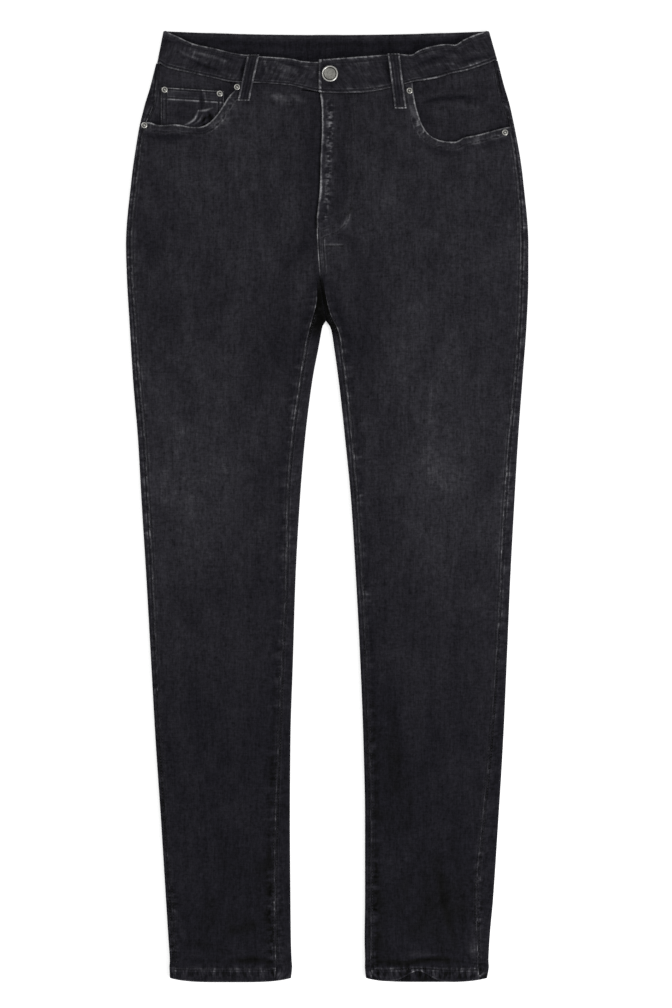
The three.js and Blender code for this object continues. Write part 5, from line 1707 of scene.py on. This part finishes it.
def build_front_loop(loop):
    leg, (low_x, low_y) = loop["leg"], loop["low"]
    share, across, x, y, from_end = loop_grid(34, 15, loop["top"], loop["low"])
    seat = max(float(band_front_height(leg, np.array(loop["top"][0])) + BAND_WALL / 2),
               float(lay_height(leg, np.array(low_x), np.array(low_y))))
    bow = LOOP["bow"] * np.sin(math.pi * smooth(share)) ** 2
    folded_in = 0.25 * (1 - smooth((1 - np.abs(across)) / 0.3)) - 0.18 * bell(across / 0.3)
    middle = np.stack([x, y, seat + GAP + DENIM_WALL / 2 + bow + folded_in], 2)
    layers = {
        # painted shade down the loop's folded middle and across it near its lower end
        "pale": 0.10 - 0.12 * bell((share - 0.74) / 0.12) - 0.13 * bell(across / 0.26),
        "edge": np.minimum((1 - np.abs(across)) * LOOP["width"] / 2 / 2.2, from_end / 1.8),
        "fray": 0.28 + 0.06 * smooth((share - 0.8) / 0.15),
        "stitch": np.minimum(np.abs(np.abs(across * LOOP["width"] / 2) - LOOP_ROWS), np.abs(from_end - 1.6)),
        "sewn": 0.12,
    }
    cloth_piece("belt_loop_" + loop["name"], FRONT_LOOP_CUT,
                *shell("loop_" + loop["name"], middle, DENIM_WALL, 1, layers))
    sew("loop_stitches_" + loop["name"],
        [middle[1:-1, column] + [0, 0, DENIM_WALL / 2 + STITCH_LIFT] for column in (3, 11)])
    tacks = [tack(middle[at, 7] + [0, 0, DENIM_WALL / 2 + TACK_LIFT], *LOOP_TACK) for at in (1, 32)]
    sew("loop_tacks_" + loop["name"], tacks, **TACK_THREAD)


def build_back_loop(name, at):
    ends = [(back_loop_x(at, y), y) for y in (LOOP["back_low"], LOOP["back_top"])]
    share, across, x, y, _ = loop_grid(20, 11, *ends)
    middle = np.stack([x, y, np.full_like(x, DENIM_WALL / 2)], 2)
    from_end = np.minimum(share, 1 - share) * (LOOP["back_top"] - LOOP["back_low"])
    layers = {
        # painted shade down the loop's middle
        "pale": -0.08 * bell(across / 0.35),
        "edge": np.minimum((1 - np.abs(across)) * LOOP["width"] / 2 / 1.3, from_end / 1.2),
        "fray": 0.16,
        "stitch": np.abs(np.abs(across * LOOP["width"] / 2) - LOOP_ROWS),
        "sewn": 0.12,
    }
    cloth_piece("belt_loop_back_" + name, BACK_LOOP_CUT,
                *shell("loop_back_" + name, middle, DENIM_WALL, -1, layers))
    sew("loop_stitches_back_" + name,
        [middle[1:-1, column] + [0, 0, STITCH_LIFT - DENIM_WALL / 2] for column in (2, 8)])


for loop in FRONT_LOOPS:
    build_front_loop(loop)
for name, at in BACK_LOOPS.items():
    build_back_loop(name, at)

# Back pockets: a plain five-sided patch on each back panel, turned in at its edges, sewn round with two rows and
# hemmed at its mouth. They lie under the panels and aren't in the photograph.
BACK_POCKET_CUT = (0.15, 0.16)
POCKET_ROWS = (1.8, 7.6)
POCKET_HEM = 12


def build_back_pocket(leg):
    down, across = np.meshgrid(np.linspace(0, 1, 45), np.linspace(-1, 1, 45), indexing="ij")
    foot = lerp(BACK_POCKET["side"], BACK_POCKET["point"], 1 - np.abs(across))
    half = lerp(BACK_POCKET["width"], BACK_POCKET["foot_width"], down) / 2
    centre = leg["sign"] * BACK_POCKET["x"]
    x = centre + across * half
    middle = np.stack([x, BACK_POCKET["top"] - foot * down, np.full_like(x, DENIM_WALL / 2)], 2)
    from_top = foot * down
    inner_edge = np.minimum((1 - np.abs(across)) * half, foot * (1 - down))
    near, far = POCKET_ROWS
    layers = {
        "pale": 0.02 + 0.05 * np.exp(-((across / 0.6) ** 2) - ((down - 0.5) / 0.3) ** 2),
        "edge": np.minimum(inner_edge / 1.1, from_top / 1.4),
        "fray": 0.18,
        "sewn": 0.12,
        "gathered": 0.3 * bell(inner_edge / 8),
        "stitch": np.minimum.reduce([np.abs(inner_edge - near), np.abs(inner_edge - far),
                                     np.abs(from_top - POCKET_HEM), np.abs(from_top - near)]),
    }
    cloth_piece(f"back_pocket_{leg['name']}", BACK_POCKET_CUT,
                *shell(f"back_pocket_patch_{leg['name']}", middle, DENIM_WALL, 1, layers))
    rows = []
    for inset in POCKET_ROWS:
        wide, foot_wide = BACK_POCKET["width"] / 2 - inset, BACK_POCKET["foot_width"] / 2 - inset
        foot_y = -BACK_POCKET["side"] + inset * 0.4
        rows.append([(-wide, -inset), (-foot_wide, foot_y), (0, -BACK_POCKET["point"] + inset),
                     (foot_wide, foot_y), (wide, -inset)])
    rows.append([(side * (BACK_POCKET["width"] / 2 - 2), -POCKET_HEM) for side in (-1, 1)])
    rows = [np.array(row, float) + [centre, BACK_POCKET["top"]] for row in rows]
    sew(f"back_pocket_stitches_{leg['name']}", on_cloth(rows, lambda at_x, at_y: np.zeros_like(at_x)))


for leg in LEGS:
    build_back_pocket(leg)

# Bar tacks of the fly: two short bars of zigzag thread, one across its foot and one on the curve of its
# stitches. The tacks of the belt loops are sewn with the loops.
FRONT_TACKS = [
    {"leg": LEFT, "x": 8, "y": 281, "run": (10, 0), "across": (0, 1.0)},
    {"leg": LEFT, "x": 24.4, "y": 318, "run": (3, 4.4), "across": (-0.8, 0.6)},
]


def build_front_tacks():
    lines = []
    for row in FRONT_TACKS:
        z = float(front_top(row["leg"], np.array([row["x"]], float), np.array([row["y"]], float))[0]) + TACK_LIFT
        lines.append(tack([row["x"], row["y"], z], [*row["run"], 0], [*row["across"], 0], 25))
    sew("fly_tacks", lines, 0.8, 1.3, 0.45)


build_front_tacks()

# Waist button: a cast jeans button with a rolled rim and a dished face, on a shank that passes through the
# buttonhole. It is antique nickel, rubbed bright on its high parts and dark in its hollows.
BUTTON_SIDES = 56
# The cap from its underside round the rim to its middle: share of the radius, height, and tarnish below 1
CAP_PROFILE = [
    (0.93, 0, 0.3), (0.985, 0.2, 0.1), (1, 0.6, -0.2), (1, 1.1, -0.5), (0.98, 1.5, -0.8), (0.94, 1.85, -1.0),
    (0.89, 2.0, -1.0), (0.84, 1.9, -0.5), (0.81, 1.5, 0.6), (0.77, 1.25, 0.95), (0.72, 1.25, 0.95),
    (0.68, 1.5, 0.4), (0.63, 1.6, 0.0), (0.5, 1.65, 0.1), (0.36, 1.7, 0.1), (0.3, 1.66, 0.25),
    (0.22, 1.72, 0.0), (0, 1.8, 0.0),
]


def turned(name, profile, sides, place, tilt=0.0):
    """A turned piece from rings of radius, height and tarnish that start and end on its axis."""
    angles = np.linspace(0, 2 * math.pi, sides, endpoint=False)
    rings = profile[1:-1]
    points = [(0, 0, profile[0][1])]
    points += [(ring[0] * math.cos(a), ring[0] * math.sin(a), ring[1]) for ring in rings for a in angles]
    points.append((0, 0, profile[-1][1]))
    faces = []
    for i in range(sides):
        after = (i + 1) % sides
        faces.append([0, 1 + after, 1 + i])
        for ring in range(len(rings) - 1):
            low, high = 1 + ring * sides, 1 + (ring + 1) * sides
            faces.append([low + i, low + after, high + after, high + i])
        last = 1 + (len(rings) - 1) * sides
        faces.append([last + i, last + after, len(points) - 1])
    turn = math.radians(tilt)
    at = []
    for x, y, z in points:
        at.append(((place[0] + x * math.cos(turn) + z * math.sin(turn)) * MM, (place[1] + y) * MM,
                   (place[2] + z * math.cos(turn) - x * math.sin(turn)) * MM))
    mesh = bpy.data.meshes.new(name)
    mesh.from_pydata(at, [], faces)
    mesh.shade_smooth()
    put_layer(mesh, "hollow", [profile[0][2]] + [ring[2] for ring in rings for _ in angles] + [profile[-1][2]])
    return new_object(name, mesh)


def make_nickel():
    material, tree, shader = new_material("antique nickel")
    place = add(tree, "ShaderNodeTexCoord").outputs["Object"]
    tarnish = noise(tree, place, 420.0, 4.0, 0.65)
    plain = shades(tree, tarnish, [[0.34, 0.20, 0.195, 0.18], [0.62, 0.36, 0.355, 0.325]])
    hollow = add(tree, "ShaderNodeAttribute", attribute_name="hollow").outputs["Fac"]
    rubbed = add(tree, "ShaderNodeMix", {
        "Factor": maths(tree, "MULTIPLY", hollow, -1.0, clamp=True), 6: plain, 7: (0.56, 0.555, 0.53, 1),
    }, data_type="RGBA")
    sunk = add(tree, "ShaderNodeMix", {
        "Factor": maths(tree, "MAXIMUM", hollow, 0.0), 6: rubbed.outputs[2], 7: (0.025, 0.024, 0.022, 1),
    }, data_type="RGBA")
    tree.links.new(sunk.outputs[2], shader.inputs["Base Color"])
    tree.links.new(maths(tree, "MULTIPLY_ADD", tarnish, 0.3, 0.22), shader.inputs["Roughness"])
    put_bump(tree, shader, noise(tree, place, 900.0, 3.0), 0.5, 0.0002)
    shader.inputs["Metallic"].default_value = 1.0
    return material


NICKEL = make_nickel()


def metal_piece(piece, node):
    piece.data.materials.append(NICKEL)
    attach(piece, "root")
    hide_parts(node)


def build_button():
    underlap_top = BAND["front_middle"] + BAND_WALL / 2
    cap = float(band_front_height(LEFT, np.array(BUTTON["x"]))) + BAND_WALL / 2 + GAP
    foot, shank, rim = underlap_top + GAP, BUTTON["shank"], BUTTON["radius"]
    profile = [(0, foot, 0.5), (shank, foot, 0.5), (shank, cap, 0.5)]
    profile += [(rim * reach, cap + rise, tarnish) for reach, rise, tarnish in CAP_PROFILE]
    metal_piece(turned("waist_button", profile, BUTTON_SIDES, (BUTTON["x"], BUTTON["y"], 0)), "button")


build_button()

# Rivets: six small ones of the same nickel, at the ends of the pocket mouths and the top corners of the coin
# pocket. Each is a dished cap with a burr in its middle.
RIVETS = [
    {"name": "right_pocket_top", "x": -97.2, "y": 452.6, "on": "front", "tilt": 0},
    {"name": "right_pocket_side", "x": -197.2, "y": 411.4, "on": "front", "tilt": -3},
    {"name": "coin_pocket_side", "x": -175.3, "y": 449.6, "on": "coin", "tilt": 0},
    {"name": "coin_pocket_centre", "x": -115.9, "y": 445.6, "on": "coin", "tilt": 0},
    {"name": "left_pocket_top", "x": 88.9, "y": 448.6, "on": "front", "tilt": 0},
    {"name": "left_pocket_side", "x": 191.9, "y": 403.6, "on": "front", "tilt": 3},
]
RIVET_PROFILE = [
    (0, 0, 0.5), (2.6, 0, 0.5), (3.1, 0.1, 0.4), (3.4, 0.4, 0.2), (3.3, 0.75, -0.1), (3.0, 1.05, -0.4),
    (2.6, 1.2, -0.6), (2.15, 1.1, -0.1), (1.8, 0.9, 0.9), (1.45, 0.85, 1.0), (1.2, 1.1, 0.7), (1.0, 1.45, 0.0),
    (0.75, 1.7, -0.6), (0.4, 1.8, -0.4), (0, 1.7, 0.3),
]
for rivet in RIVETS:
    x, y = np.array([rivet["x"]]), np.array([rivet["y"]])
    leg = RIGHT if rivet["x"] < 0 else LEFT
    if rivet["on"] == "coin":
        seat = facing_height(RIGHT, x, y) + STACKED + DENIM_WALL / 2 + GAP
    else:
        seat = lay_height(leg, x, y) + GAP
    piece = turned("rivet_cap_" + rivet["name"], RIVET_PROFILE, 24, (rivet["x"], rivet["y"], float(seat[0])),
                   rivet["tilt"])
    metal_piece(piece, "rivet_" + rivet["name"])

# Zip: black tape, chain and slider under the fly's lap, where nothing of them shows. The solids stay, in their
# own finishes.


def make_tape():
    material, tree, shader = new_material("zip tape")
    weave = noise(tree, add(tree, "ShaderNodeTexCoord").outputs["Object"], 1500.0, 2.0)
    shade = shades(tree, weave, [[0.0, 0.004, 0.004, 0.0045], [1.0, 0.016, 0.016, 0.017]])
    tree.links.new(shade, shader.inputs["Base Color"])
    put_bump(tree, shader, weave, 0.4, 0.0002)
    shader.inputs["Roughness"].default_value = 0.85
    return material


for node, finish, slot in (("zip", make_tape(), "zip_tape"), ("zip_slider", NICKEL, "nickel")):
    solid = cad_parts[node]
    solid.data.materials.clear()
    solid.data.materials.append(finish)

# The plain pale floor that the jeans lie on, the soft light of a studio, and the camera straight above, far off
# with a long lens.
FLOOR_SIZE = 3.0
FLOOR_DROP = 0.0003


def build_floor():
    mesh = bpy.data.meshes.new("floor")
    half = FLOOR_SIZE / 2
    corners = ((-half, -half), (half, -half), (half, half), (-half, half))
    mesh.from_pydata([(*corner, -FLOOR_DROP) for corner in corners], [], [[0, 1, 2, 3]])
    material, _, shader = new_material("pale floor")
    for socket, value in (
        ("Base Color", (0.9, 0.9, 0.9, 1)), ("Roughness", 0.9), ("Specular IOR Level", 0.0),
        ("Emission Color", (1, 1, 1, 1)), ("Emission Strength", 0.42),
    ):
        shader.inputs[socket].default_value = value
    mesh.materials.append(material)
    new_object("floor", mesh)


def area_light(name, place, target, size, power):
    light = bpy.data.lights.new(name, "AREA")
    light.shape, light.size, light.energy = "DISK", size, power
    lamp = new_object(name, light)
    lamp.location = place
    lamp.rotation_euler = (Vector(target) - Vector(place)).to_track_quat("-Z", "Y").to_euler()


build_floor()
world = bpy.data.worlds.new("studio")
world.use_nodes = True
world.node_tree.nodes["Background"].inputs["Color"].default_value = (1, 1, 1, 1)
world.node_tree.nodes["Background"].inputs["Strength"].default_value = 0.62
bpy.context.scene.world = world
area_light("key", (1.9, -1.6, 1.4), (0, 0.05, 0), 0.8, 66)
area_light("fill", (-1.6, 1.4, 1.8), (0, 0, 0), 1.6, 16)

CAMERA = {"x": 0.0095, "y": 0.0027, "height": 5.0, "lens": 165.3}
camera_data = bpy.data.cameras.new("camera")
camera_data.lens = CAMERA["lens"]
camera_data.sensor_width = 36
camera_data.clip_end = 50
camera = new_object("camera", camera_data)
camera.location = (CAMERA["x"], CAMERA["y"], CAMERA["height"])
bpy.context.scene.camera = camera
bpy.context.scene.view_settings.view_transform = "Standard"
